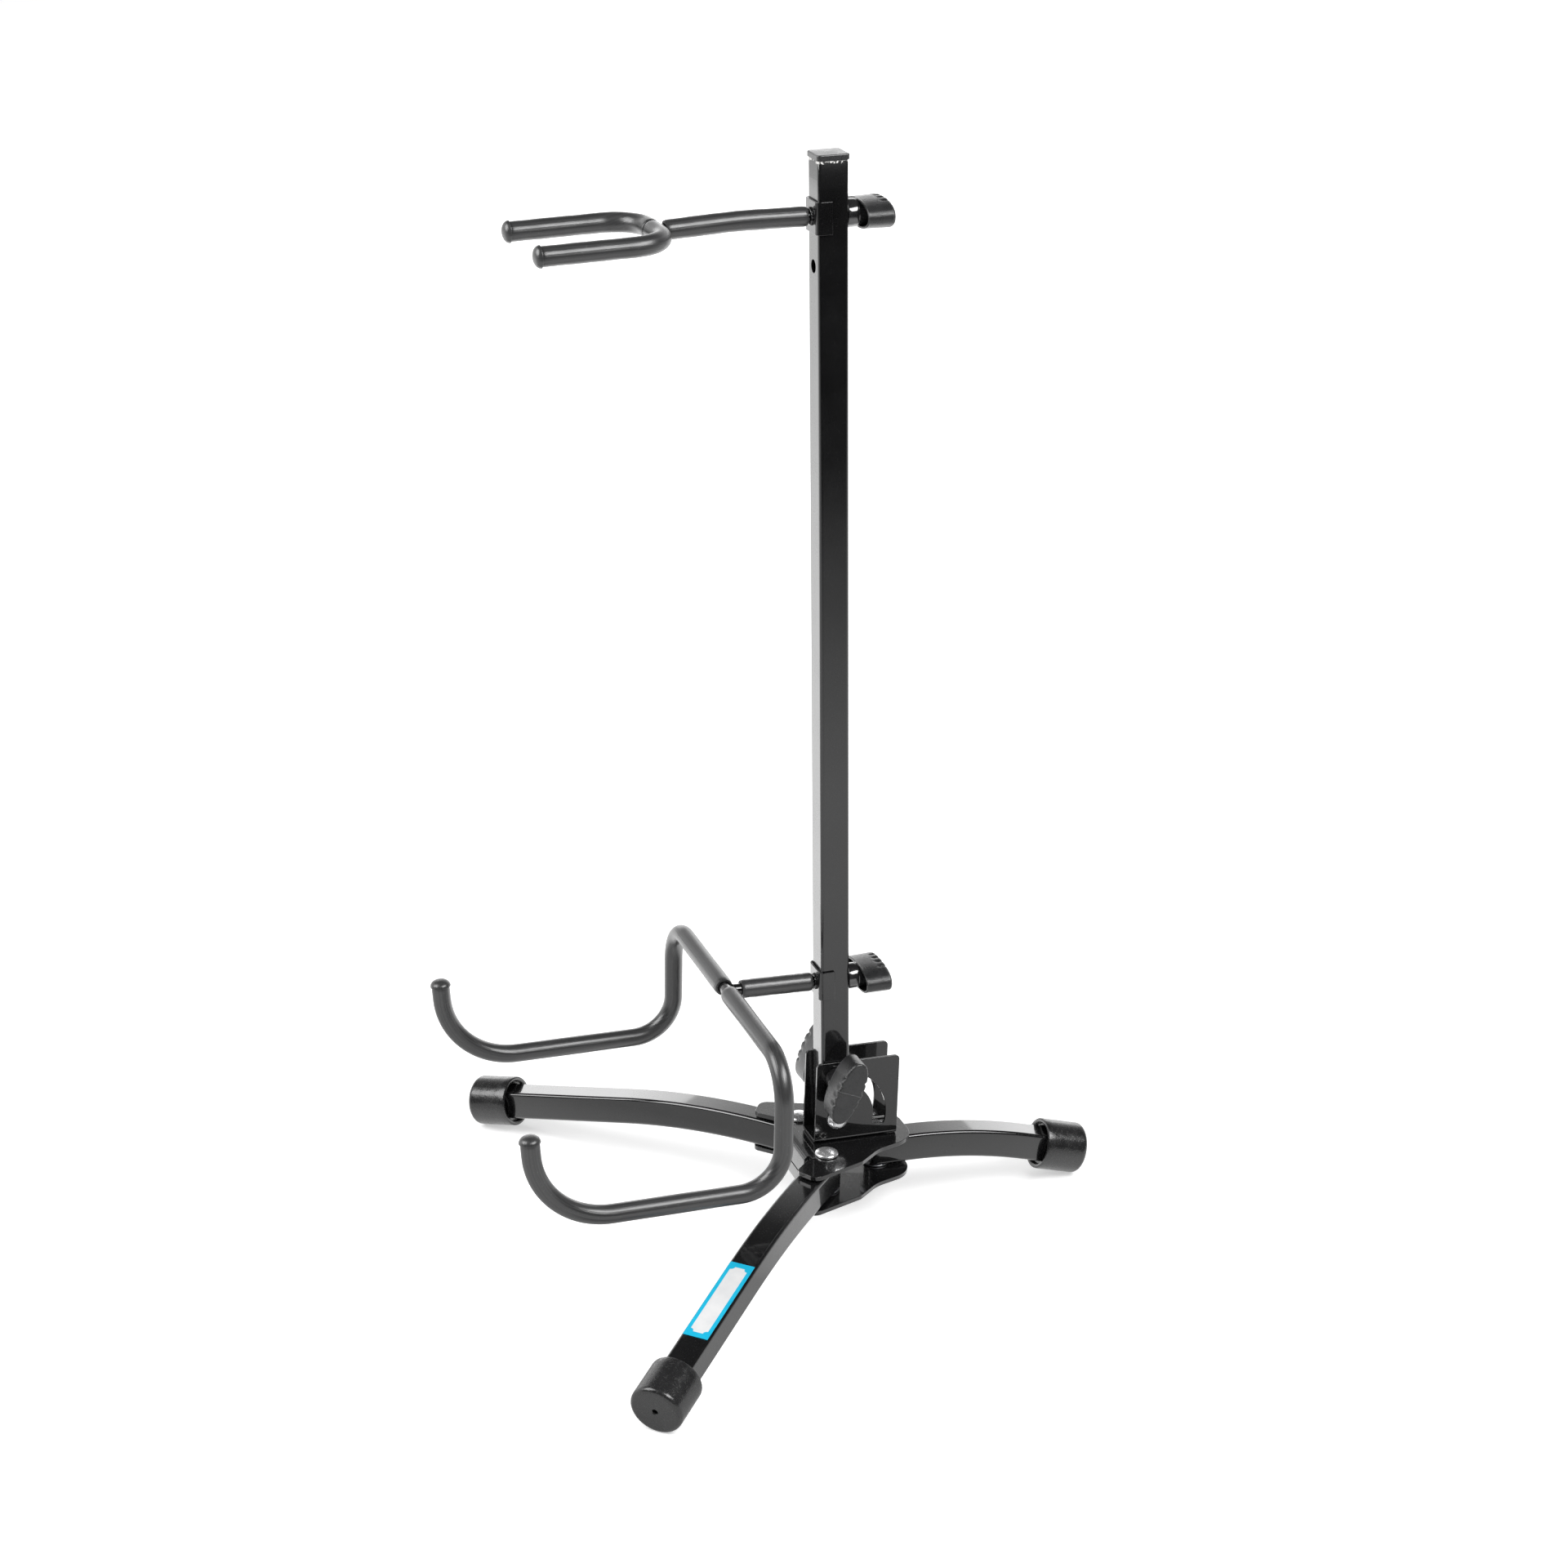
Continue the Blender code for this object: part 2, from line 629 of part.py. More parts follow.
def bent_leg(name, path, axis):
    """Square tube along the path with a round end about the rivet."""
    rim_at = length_of(path) - 1.2 * HALF_TUBE - FOOT_END
    tube_path = stretch(path, 0, rim_at + 1.2 * HALF_TUBE - CLEARANCE)
    leg = sweep(name, tube_path, tube_outer, tube_inner, (0, 1, 0), axis, BLACK_PAINT)
    round_radius = HALF_TUBE + 0.00005
    wide = 1.5 * HALF_TUBE
    turns = [pi / 2 + pi * k / 12 for k in range(13)]
    arc = [Vector((round_radius * cos(t), round_radius * sin(t), 0)) for t in turns]
    outline = [Vector((-2 * wide, wide, 0)), Vector((0, wide, 0))] + arc
    outline += [Vector((0, -wide, 0)), Vector((-2 * wide, -wide, 0))]
    carve(leg, prism("round_end", outline, -TUBE_SIDE, TUBE_SIDE, axis))
    carve(leg, rod_cutter("hole", ROD_HOLE, 2 * TUBE_SIDE, "Z", axis))
    return leg


def rubber_foot(name, path, axis):
    """Cup over the end of a leg, cut flat where it meets the floor."""
    end = path[-1]
    along = (path[-1] - path[-2]).normalized()
    arc = [pi / 2 * k / 3 for k in range(4)]
    corner_z = FOOT_LENGTH - FOOT_ROUND
    corner_r = FOOT_RADIUS - FOOT_ROUND
    profile = [(0, 0), (FOOT_RADIUS - 0.0006, 0), (FOOT_RADIUS, 0.0006)]
    profile += [(corner_r + FOOT_ROUND * cos(t), corner_z + FOOT_ROUND * sin(t)) for t in arc]
    profile += [(0, FOOT_LENGTH)]
    foot = lathe(name, profile, axis, FOOT_RUBBER, sides=28)
    bore = rounded_square(HALF_TUBE + CLEARANCE, TUBE_CORNER + CLEARANCE)
    for cutter in (
        prism("bore", bore, -0.01, FOOT_BORE, axis),
        prism("vent", circle(FOOT_HOLE / 2, 12), FOOT_BORE - 0.002, FOOT_LENGTH * 1.2, axis),
    ):
        carve(foot, cutter)
    place = end - along * FOOT_LENGTH
    foot.rotation_euler = (0, pi / 2 + atan2(-along.z, along.x), 0)
    foot.location = place
    side = 0.2
    floor = stack(
        "floor",
        [(rounded_square(side, 0), -side), (rounded_square(side, 0), 0)],
    )
    bpy.context.view_layer.update()
    floor.location = (foot.matrix_world.translation.x, foot.matrix_world.translation.y, 0)
    carve(foot, floor)
    return foot


# Legs and feet; the front pair swings about its rivets, the rear one is fixed
front_bend = solve_bend(
    FRONT_RIVET_Y, -cos(FRONT_HEADING), FRONT_LEVEL, FRONT_ARC_RADIUS, FRONT_LENGTH
)
rear_bend = solve_bend(REAR_RIVET_Y, 1.0, REAR_LEVEL, REAR_ARC_RADIUS, REAR_LENGTH)
front_path = leg_path(FRONT_LEVEL, FRONT_ARC_RADIUS, front_bend, FRONT_LENGTH)
rear_path = leg_path(REAR_LEVEL, REAR_ARC_RADIUS, rear_bend, REAR_LENGTH)
left_turn = FRONT_HEADING - pi / 2
leg_plan = [
    ("front_left", (FRONT_RIVET_X, FRONT_RIVET_Y, LEG_Z), left_turn, front_path),
    ("front_right", (-FRONT_RIVET_X, FRONT_RIVET_Y, LEG_Z), -pi - left_turn, front_path),
    ("rear", (0, REAR_RIVET_Y, LEG_Z), pi / 2, rear_path),
]
leg_axes = {}
for place, spot, turn, path in leg_plan:
    axis = empty("leg_axis_" + place, hub, spot, (0, 0, turn))
    leg_axes[place] = axis
    bent_leg("leg_" + place, path, axis)
    rubber_foot("foot_" + place, path, axis)

# Label: a thin sheet that follows the top of the left front leg
label_from = 1.2 * HALF_TUBE + LABEL_START
label_path = stretch(front_path, label_from, label_from + LABEL_LENGTH)
label_low = HALF_TUBE + CLEARANCE
label_top = label_low + LABEL_THICKNESS
label_half = LABEL_WIDTH / 2
label_section = [
    Vector((-label_half, label_low, 0)),
    Vector((label_half, label_low, 0)),
    Vector((label_half, label_top, 0)),
    Vector((-label_half, label_top, 0)),
]
sweep("leg_label", label_path, label_section, None, (0, 1, 0), leg_axes["front_left"], LABEL_FACE)


def hand_knob(name, parent, location, rotation):
    """Knob along its own +Z: boss first, then the oval shell with its end wall."""
    half_long = KNOB_LONG / 2
    half_short = KNOB_SHORT / 2
    edge = 0.0014
    rings = [
        (oval(half_long - 0.0006, half_short - 0.0002), BOSS_LENGTH),
        (oval(half_long, half_short), KNOB_LENGTH - edge),
        (oval(half_long - edge * 0.3, half_short - edge * 0.3), KNOB_LENGTH - edge * 0.3),
        (oval(half_long - edge, half_short - edge), KNOB_LENGTH),
    ]
    knob = stack(name, rings, parent, KNOB_PLASTIC)
    hollow = oval(half_long - KNOB_WALL, half_short - KNOB_WALL)
    carve(knob, prism("hollow", hollow, BOSS_LENGTH / 2, KNOB_LENGTH - KNOB_WALL, parent))
    boss_top = KNOB_LENGTH - KNOB_WALL / 2
    boss = prism("boss", circle(BOSS_DIAMETER / 2, 20), 0, boss_top, parent)
    carve(knob, boss, "UNION")
    bore = prism("bore", circle(ROD_HOLE, 16), -0.01, STUD_BITE + 0.0010, parent)
    carve(knob, bore)
    knob.location = location
    knob.rotation_euler = rotation
    return knob


# Clamp: a stud through the mast and both slots, with a knob on each end
clamp_seat = BRACKET_OUTER + CLEARANCE
clamp_end = clamp_seat + STUD_BITE
clamp_stud = prism("clamp_stud", circle(ROD_RADIUS, 16), -clamp_end, clamp_end, mast_axis, ZINC)
clamp_stud.rotation_euler = (0, pi / 2, 0)
clamp_stud.location = (0, 0, SLOT_RADIUS)
clamp_spot = Vector((clamp_seat, 0, SLOT_RADIUS))
mirror_spot = Vector((-clamp_seat, 0, SLOT_RADIUS))
tilt = Matrix.Rotation(-CLAMP_KNOB_TURN, 3, "X")
facing_left = tilt @ Matrix(((0, 0, 1), (0, 1, 0), (-1, 0, 0)))
facing_right = tilt @ Matrix(((0, 0, -1), (0, 1, 0), (1, 0, 0)))
hand_knob("clamp_knob_left", mast_axis, clamp_spot, facing_left.to_euler())
hand_knob("clamp_knob_right", mast_axis, mirror_spot, facing_right.to_euler())


def arm_clip(name, height):
    """U of sheet over the front of the mast, with a hole for the arm."""
    back = CLIP_REACH - HALF_TUBE
    corners = [
        ((-CLIP_OUTER, back), 0),
        ((-CLIP_OUTER, -CLIP_OUTER), TUBE_CORNER + CLIP_SHEET),
        ((CLIP_OUTER, -CLIP_OUTER), TUBE_CORNER + CLIP_SHEET),
        ((CLIP_OUTER, back), 0),
        ((CLIP_INNER, back), 0),
        ((CLIP_INNER, -CLIP_INNER), TUBE_CORNER),
        ((-CLIP_INNER, -CLIP_INNER), TUBE_CORNER),
        ((-CLIP_INNER, back), 0),
    ]
    low = height - CLIP_HEIGHT / 2
    clip = prism(name, rounded(corners, step=COARSE_ARC), low, low + CLIP_HEIGHT, mast_axis, BLACK_PAINT)
    hole = rod_cutter("hole", ROD_HOLE, TUBE_SIDE, "Y", mast_axis, (0, -CLIP_OUTER, height))
    carve(clip, hole)
    return clip


rod_section = circle(ROD_RADIUS, 10)
sleeve_outer = circle(SLEEVE_RADIUS, 10)
sleeve_inner = circle(SLEEVE_BORE, 10)


def rod(name, path, side):
    """Bare steel rod along a path."""
    return sweep(name, path, rod_section, None, side, mast_axis, BLACK_PAINT)


def sleeve(name, path, side):
    """Soft sleeve around a rod along a path."""
    return sweep(name, path, sleeve_outer, sleeve_inner, side, mast_axis, SLEEVE_VINYL)


def tip_cap(name, tip, along):
    """Domed cap over the end of a rod."""
    edge = TIP_CAP_RADIUS * 0.62
    arc = [pi / 2 * k / 4 for k in range(4)]
    dome_base = TIP_CAP_LENGTH - edge
    bore_depth = TIP_CAP_LENGTH - SLEEVE_WALL
    profile = [(0, bore_depth), (SLEEVE_BORE, bore_depth), (SLEEVE_BORE, 0)]
    profile += [(TIP_CAP_RADIUS - 0.0005, 0), (TIP_CAP_RADIUS, 0.0006)]
    profile += [(TIP_CAP_RADIUS * cos(t), dome_base + edge * sin(t)) for t in arc]
    profile += [(0, TIP_CAP_LENGTH)]
    cap = lathe(name, profile, mast_axis, SLEEVE_VINYL, sides=16)
    cap.rotation_euler = along.to_track_quat("Z", "Y").to_euler()
    cap.location = tip + along * (CLEARANCE + SLEEVE_WALL - TIP_CAP_LENGTH)
    return cap


def mirrored_sleeves(prefix, path, bare):
    """Sleeves and tip caps on both halves of a rod that crosses X = 0."""
    middle = length_of(path) / 2
    cap_reach = TIP_CAP_LENGTH - SLEEVE_WALL - CLEARANCE
    reach = cap_reach + CLEARANCE
    left = stretch(path, middle + bare, 2 * middle - reach)
    right = [Vector((-p.x, p.y, p.z)) for p in left]
    sleeve(prefix + "_sleeve_left", left, (0, 0, 1))
    sleeve(prefix + "_sleeve_right", right, (0, 0, 1))
    along = (path[-1] - path[-2]).normalized()
    tip_cap(prefix + "_tip_cap_left", path[-1], along)
    flipped = Vector((-along.x, along.y, along.z))
    tip_cap(prefix + "_tip_cap_right", Vector((-path[-1].x, path[-1].y, path[-1].z)), flipped)


# Neck yoke: clip, arm rod that is also the stud, fork, sleeves, caps and knob
arm_clip("yoke_clip", YOKE_HEIGHT)
fork_z = YOKE_HEIGHT - YOKE_SAG
arm_end = FORK_BACK - ROD_RADIUS - CLEARANCE
yoke_middle = (0, -(CLIP_OUTER + arm_end) / 2, YOKE_HEIGHT - YOKE_SAG / 2 + YOKE_ARCH)
yoke_arm = rounded(
    [
        ((0, STUD_END, YOKE_HEIGHT), 0),
        ((0, -CLIP_OUTER, YOKE_HEIGHT), 0),
        (yoke_middle, YOKE_ARCH_RADIUS),
        ((0, -arm_end, fork_z), 0),
    ],
    closed=False,
    step=radians(2),
)
rod("yoke_arm_rod", yoke_arm, (1, 0, 0))
behind_clip = STUD_END + CLIP_OUTER
yoke_span = length_of(yoke_arm)
sleeve(
    "yoke_arm_sleeve",
    stretch(yoke_arm, behind_clip + YOKE_SLEEVE_FRONT, yoke_span - YOKE_SLEEVE_REAR),
    (1, 0, 0),
)
fork_half = [
    ((FORK_HALF, -FORK_BACK, fork_z), FORK_BEND),
    ((FORK_HALF, -FORK_TIP, fork_z - FORK_TIP_SAG), 0),
]
fork_mirror = [((-x, y, z), r) for (x, y, z), r in reversed(fork_half)]
fork_path = rounded(fork_mirror + fork_half, closed=False)
rod("yoke_fork_rod", fork_path, (0, 0, 1))
mirrored_sleeves("yoke", fork_path, FORK_BARE)
knob_turn = Matrix(((1, 0, 0), (0, 0, 1), (0, -1, 0))).to_euler()
hand_knob("yoke_knob", mast_axis, (0, KNOB_SEAT, YOKE_HEIGHT), knob_turn)

# Body cradle: the same pieces with a rod bent into two hooks
arm_clip("cradle_clip", CRADLE_HEIGHT)
cradle_z = CRADLE_HEIGHT + CRADLE_RISE
cradle_arm_end = CRADLE_BACK - ROD_RADIUS - CLEARANCE
cradle_arm = [
    Vector((0, STUD_END, CRADLE_HEIGHT)),
    Vector((0, -CLIP_OUTER, CRADLE_HEIGHT)),
    Vector((0, -cradle_arm_end, cradle_z)),
]
rod("cradle_arm_rod", cradle_arm, (1, 0, 0))
cradle_span = length_of(cradle_arm)
sleeve(
    "cradle_arm_sleeve",
    stretch(cradle_arm, behind_clip + CRADLE_SLEEVE_REAR, cradle_span - CRADLE_SLEEVE_FRONT),
    (1, 0, 0),
)
cradle_half = [
    ((CRADLE_HALF, -CRADLE_BACK, cradle_z), CRADLE_TOP_BEND),
    ((CRADLE_HALF, -CRADLE_LOW_REAR, CRADLE_LOW_REAR_Z), CRADLE_REAR_BEND),
    ((CRADLE_HALF, -CRADLE_LOW_FRONT, CRADLE_LOW_FRONT_Z), CRADLE_FRONT_BEND),
    ((CRADLE_HALF, -CRADLE_TIP, CRADLE_TIP_Z), 0),
]
cradle_mirror = [((-x, y, z), r) for (x, y, z), r in reversed(cradle_half)]
cradle_path = rounded(cradle_mirror + cradle_half, closed=False)
rod("cradle_rod", cradle_path, (1, 0, 0))
mirrored_sleeves("cradle", cradle_path, CRADLE_BARE)
hand_knob("cradle_knob", mast_axis, (0, KNOB_SEAT, CRADLE_HEIGHT), knob_turn)

# Round pieces read as round; edges sharper than 30 degrees stay crisp
solids = [o for o in bpy.data.objects if o.type == "MESH"]
for piece in solids:
    piece.data.shade_smooth()
    piece.data.set_sharp_from_angle(angle=radians(30))

# The origin is the middle of the footprint, on the floor
bpy.context.view_layer.update()
world = [o.matrix_world @ v.co for o in solids for v in o.data.vertices]
middle_x = (min(p.x for p in world) + max(p.x for p in world)) / 2
middle_y = (min(p.y for p in world) + max(p.y for p in world)) / 2
root.location = (-middle_x, -middle_y, -min(p.z for p in world))
bpy.context.view_layer.update()
print("bends in degrees:", round(degrees(front_bend), 2), round(degrees(rear_bend), 2))
print("objects:", len(solids), "origin shift:", [round(v, 5) for v in root.location])
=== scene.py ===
import json
from math import cos, pi, radians, sin, tan

import bpy
import numpy as np
from mathutils import Matrix


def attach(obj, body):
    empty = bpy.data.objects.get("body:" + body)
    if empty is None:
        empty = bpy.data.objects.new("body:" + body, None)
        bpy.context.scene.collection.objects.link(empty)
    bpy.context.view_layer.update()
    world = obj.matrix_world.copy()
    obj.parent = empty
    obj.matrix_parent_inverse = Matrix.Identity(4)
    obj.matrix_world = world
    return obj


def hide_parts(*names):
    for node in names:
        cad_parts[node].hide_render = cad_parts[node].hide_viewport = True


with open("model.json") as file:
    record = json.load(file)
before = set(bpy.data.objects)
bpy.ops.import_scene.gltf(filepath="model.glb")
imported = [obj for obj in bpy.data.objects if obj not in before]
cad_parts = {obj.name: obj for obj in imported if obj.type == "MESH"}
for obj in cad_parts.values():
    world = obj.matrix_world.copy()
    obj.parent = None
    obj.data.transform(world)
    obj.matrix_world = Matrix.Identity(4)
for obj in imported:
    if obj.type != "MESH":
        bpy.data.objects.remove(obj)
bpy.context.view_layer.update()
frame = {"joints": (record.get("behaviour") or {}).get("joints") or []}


# The camera stands to the stand's left and above it, with a long lens, where the photograph was taken.
# It looks past the cradle and the yoke, whose arms point to the left of the picture.
azimuth, height, roll = radians(71.435), radians(22.136), radians(-1.022)
camera_point = np.array([1.869534, -0.628079, 1.130194])
camera = bpy.data.objects.new("camera", bpy.data.cameras.new("camera"))
camera.data.lens = 74.279
camera.data.sensor_width = 36.0
camera.data.clip_start = 0.05
bpy.context.scene.collection.objects.link(camera)
bpy.context.scene.camera = camera


def standing(point, right, back):
    """Matrix of a camera or lamp at a point: its right, its up = back x right, and its back."""
    matrix = np.eye(4)
    matrix[:3] = np.stack([right, np.cross(back, right), back, point], axis=1)
    return Matrix(matrix.tolist())


camera_back = np.array([sin(azimuth) * cos(height), -cos(azimuth) * cos(height), sin(height)])
level_right = np.array([cos(azimuth), sin(azimuth), 0.0])
camera_right = level_right * cos(roll) + np.cross(camera_back, level_right) * sin(roll)
camera.matrix_world = standing(camera_point, camera_right, camera_back)


# The mast is a square steel tube, sawn to length, drilled through and powder coated gloss black.
# It leans back by half a degree where its stud rests at the front end of the bracket's slots.
# Its heights are measured from its pivot, and the seat gap is what pieces that touch keep between them.
tube_side, tube_wall, tube_corner, seat_gap = 0.02, 0.0012, 0.0022, 0.0003
half_tube = tube_side / 2
mast_bottom, mast_top, sawn_edge = -0.01, 0.657, 0.0002
stud_height, cradle_height, spare_height, yoke_height = 0.0308, 0.1005, 0.5905, 0.622
hole_radius = 0.0043
lean = radians(0.5)
pivot = np.array({j["name"]: j for j in frame["joints"]}["mast_tilt"]["pos_m"])


def tipped(points, angle):
    """Points measured from the pivot, tipped back about X by the angle and moved to the pivot.

    y' = y cos a + z sin a and z' = z cos a - y sin a.
    """
    x, y, z = np.moveaxis(np.asarray(points, float), -1, 0)
    return np.stack([x, y * cos(angle) + z * sin(angle), z * cos(angle) - y * sin(angle)], -1) + pivot


def on_mast(points):
    """Points in the mast's frame, whose Z runs up the mast from its pivot."""
    return tipped(points, lean)


def square_ring(half, corner, hold=0.0004, steps=7):
    """Outline of a square with round corners: a quarter circle at each corner, turned four times.

    One more point lies on the flat just beside each corner, so that the flats shade as flats.
    """
    t = np.radians(np.linspace(0, 90, steps))
    x = np.concatenate([[half], half - corner + corner * np.cos(t), [half - corner - hold]])
    y = np.concatenate([[half - corner - hold], half - corner + corner * np.sin(t), [half]])
    c = np.array([1, 0, -1, 0])[:, None]
    s = np.array([0, 1, 0, -1])[:, None]
    return np.stack([c * x - s * y, s * x + c * y], -1).reshape(-1, 2)


def tube_outline(inset):
    """The tube's outline, drawn in by inset."""
    return square_ring(half_tube - inset, tube_corner - inset)


def raised(outline, z):
    """Flat outline set at a height: z joins x and y as the third number."""
    return np.column_stack([outline, np.full(len(outline), z)])


def skin(name, rings, place=None, own=None, ends="capped", crease=34):
    """Surface through rings of equal count, as quads between each ring and the next.

    Its ends are capped with flat faces, or joined to each other where the rings go out along
    a piece and back inside it. The UV map gives the share of the way round and the metres
    along, and the attribute own gives each point's place in the piece's own frame.
    """
    rings = np.asarray(rings, float)
    rows, columns = rings.shape[:2]
    number = np.arange(rows * columns).reshape(rows, columns)
    far = np.vstack([number[1:], number[:1]]) if ends == "joined" else number[1:]
    near = number[: len(far)]
    quads = np.stack([near, np.roll(near, -1, 1), np.roll(far, -1, 1), far], -1).reshape(-1, 4)
    faces = quads.tolist()
    if ends == "capped":
        faces += [number[0, ::-1].tolist(), number[-1].tolist()]
    world = rings if place is None else place(rings)
    mesh = bpy.data.meshes.new(name)
    mesh.from_pydata(world.reshape(-1, 3).tolist(), [], faces)
    steps = np.linalg.norm(np.diff(rings.mean(1), axis=0), axis=1)
    along = np.concatenate([[0], np.cumsum(steps)])
    far_along = np.append(along[1:], along[0])[: len(far)]
    uv = np.zeros((len(far), columns, 4, 2))
    uv[..., 0] = (np.arange(columns)[:, None] + np.array([0, 1, 1, 0])) / columns
    uv[..., 1] = np.stack([along[: len(far)]] * 2 + [far_along] * 2, -1)[:, None, :]
    flat = np.zeros((len(mesh.loops), 2))
    flat[: uv.size // 2] = uv.reshape(-1, 2)
    mesh.uv_layers.new(name="UVMap").data.foreach_set("uv", flat.ravel())
    local = rings if own is None else np.asarray(own, float)
    mesh.attributes.new("own", "FLOAT_VECTOR", "POINT").data.foreach_set("vector", local.ravel())
    mesh.shade_smooth()
    mesh.set_sharp_from_angle(angle=radians(crease))
    made = bpy.data.objects.new(name, mesh)
    bpy.context.scene.collection.objects.link(made)
    return made


def cut(piece, tool, operation="DIFFERENCE", crease=34):
    """The piece less the tool, or joined to it, worked out once and kept as the piece's mesh."""
    step = piece.modifiers.new("cut", "BOOLEAN")
    step.operation, step.solver, step.object = operation, "EXACT", tool
    bpy.context.view_layer.update()
    graph = bpy.context.evaluated_depsgraph_get()
    mesh = bpy.data.meshes.new_from_object(piece.evaluated_get(graph))
    piece.modifiers.clear()
    piece.data = mesh
    mesh.set_sharp_from_angle(angle=radians(crease))
    bpy.data.objects.remove(tool)


def unit(vectors):
    """Vectors brought to a length of one."""
    return vectors / np.linalg.norm(vectors, axis=-1, keepdims=True)


def drill(piece, start, end, place, sides=40):
    """Round hole from start to end: a circle square to the line between them, cut out."""
    start, end = np.array(start, float), np.array(end, float)
    line = unit(end - start)
    side = np.cross(line, np.roll(np.eye(3)[np.abs(line).argmax()], 1))
    t = np.linspace(0, 2 * pi, sides, endpoint=False)[:, None]
    ring = hole_radius * (np.cos(t) * side + np.sin(t) * np.cross(line, side))
    cut(piece, skin("drill", [start + ring, end + ring], place))


def fit(piece, body, slot, finish, *nodes):
    """Give a finished piece its material, its body and the nodes it stands for. Its slot is not used."""
    piece.data.materials.clear()
    piece.data.materials.append(finish)
    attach(piece, body)
    if nodes:
        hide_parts(*nodes)


class Wire:
    """A socket of a material's nodes. Sums on it add Math nodes, and node() adds any other."""

    def __init__(self, tree, socket=None):
        self.tree, self.socket = tree, socket

    def node(self, kind, settings=(), sockets=(), output=0):
        """A node of that type: first its settings, then values or links for its sockets."""
        made = self.tree.nodes.new("ShaderNode" + kind)
        for key, value in dict(settings).items():
            setattr(made, key, value)
        for key, value in dict(sockets).items():
            if isinstance(value, Wire):
                self.tree.links.new(value.socket, made.inputs[key])
            else:
                made.inputs[key].default_value = value
        return Wire(self.tree, made.outputs[output])

    def sum(self, operation, *values):
        """One Math node on the values."""
        return self.node("Math", {"operation": operation}, dict(enumerate(values)))

    def __add__(self, other):
        return self.sum("ADD", self, other)

    def __sub__(self, other):
        return self.sum("SUBTRACT", self, other)

    def __rsub__(self, other):
        return self.sum("SUBTRACT", other, self)

    def __mul__(self, other):
        return self.sum("MULTIPLY", self, other)

    def __pow__(self, other):
        return self.sum("POWER", self, other)

    __radd__, __rmul__ = __add__, __mul__

    def ramp(self, low, high):
        """0 below low, 1 above high, and a straight climb between."""
        return self.node("MapRange", {"clamp": True}, {"Value": self, "From Min": low, "From Max": high})

    def place(self, where="Object"):
        """Object or Generated coordinates, the UV map, or the named attribute."""
        if where in ("Object", "Generated", "UV"):
            return self.node("TexCoord", output=where)
        return self.node("Attribute", {"attribute_name": where}, output="Vector")

    def axes(self, where="Object"):
        """The three numbers of a place, each a wire of its own."""
        split = self.node("SeparateXYZ", (), {0: self.place(where)})
        return [Wire(self.tree, output) for output in split.socket.node.outputs]

    def noise(self, scale, detail=3.0, where="Object", stretch=None, spread=(0.25, 0.75)):
        """Noise with that many lumps per metre, or per unit stretched; its spread becomes 0 to 1."""
        spot = self.place(where)
        if stretch:
            spot = self.node("Mapping", (), {"Vector": spot, "Scale": stretch})
        made = self.node("TexNoise", (), {"Vector": spot, "Scale": scale, "Detail": detail}, "Fac")
        return made.ramp(*spread)

    def cells(self, scale, softness, where="Object"):
        """Distance to the middle of the nearest of that many cells per metre, with soft borders."""
        sockets = {"Vector": self.place(where), "Scale": scale, "Smoothness": softness}
        return self.node("TexVoronoi", {"feature": "SMOOTH_F1"}, sockets)

    def blend(self, factor, low, high):
        """Colour from low to high by the factor, each a colour or a link."""
        low, high = [c if isinstance(c, Wire) else (*c, 1) for c in (low, high)]
        return self.node("Mix", {"data_type": "RGBA"}, {0: factor, 6: low, 7: high}, 2)

    def bump(self, relief, depth):
        """Normal raised by the relief, whose full height is depth in metres."""
        return self.node("Bump", (), {"Height": relief, "Distance": depth, "Strength": 1.0})

    def principled(self, **sockets):
        """The Principled shader, with values or links for its sockets."""
        return self.node("BsdfPrincipled", (), {key.replace("_", " "): sockets[key] for key in sockets})


def material(name, surface, *values):
    """A new material, whose shader the surface function makes from a wire and the values."""
    made = bpy.data.materials.new(name)
    made.use_nodes = True
    tree = made.node_tree
    tree.nodes.clear()
    shader = surface(Wire(tree), *values)
    tree.links.new(shader.socket, tree.nodes.new("ShaderNodeOutputMaterial").inputs[0])
    return made


def gloss_paint(wire, bare_spots=None):
    """Black powder coat: a soft orange peel, a trace of dust, and rubbed metal on the bare spots."""
    peel = wire.noise(620, 2.0)
    haze = wire.noise(38, 4.0)
    grit = wire.noise(2600, 2.0)
    specks = wire.noise(900, 1.0).ramp(0.86, 0.98)
    colour = wire.blend(haze, (0.005, 0.005, 0.0053), (0.0085, 0.0086, 0.009))
    colour = wire.blend(specks * 0.2, colour, (0.05, 0.05, 0.048))
    rough = 0.2 + haze * 0.1 + specks * 0.06
    metal, coat = 0.0, 0.9
    if bare_spots:
        worn = bare_spots(wire)
        colour = wire.blend(worn, colour, (0.78, 0.77, 0.75))
        metal, coat, rough = worn * 0.25, 0.9 - worn * 0.8, rough + worn * 0.15
    return wire.principled(
        Base_Color=colour, Roughness=rough, Metallic=metal, Specular_IOR_Level=0.2,
        Coat_Weight=coat, Coat_Roughness=0.05, Coat_IOR=1.8,
        Normal=wire.bump(peel * 0.8 + grit * 0.2, 0.000012),
    )


def sawn_end(wire):
    """Pale flecks where the coat broke away along the mast's sawn top edge."""
    up = wire.axes()[2] - pivot[2]
    ragged = up + wire.noise(900, 3.0) * 0.0016
    chips = wire.noise(520, 3.0).ramp(0.44, 0.62)
    return ragged.ramp(mast_top - 0.0008, mast_top - 0.0005) * chips


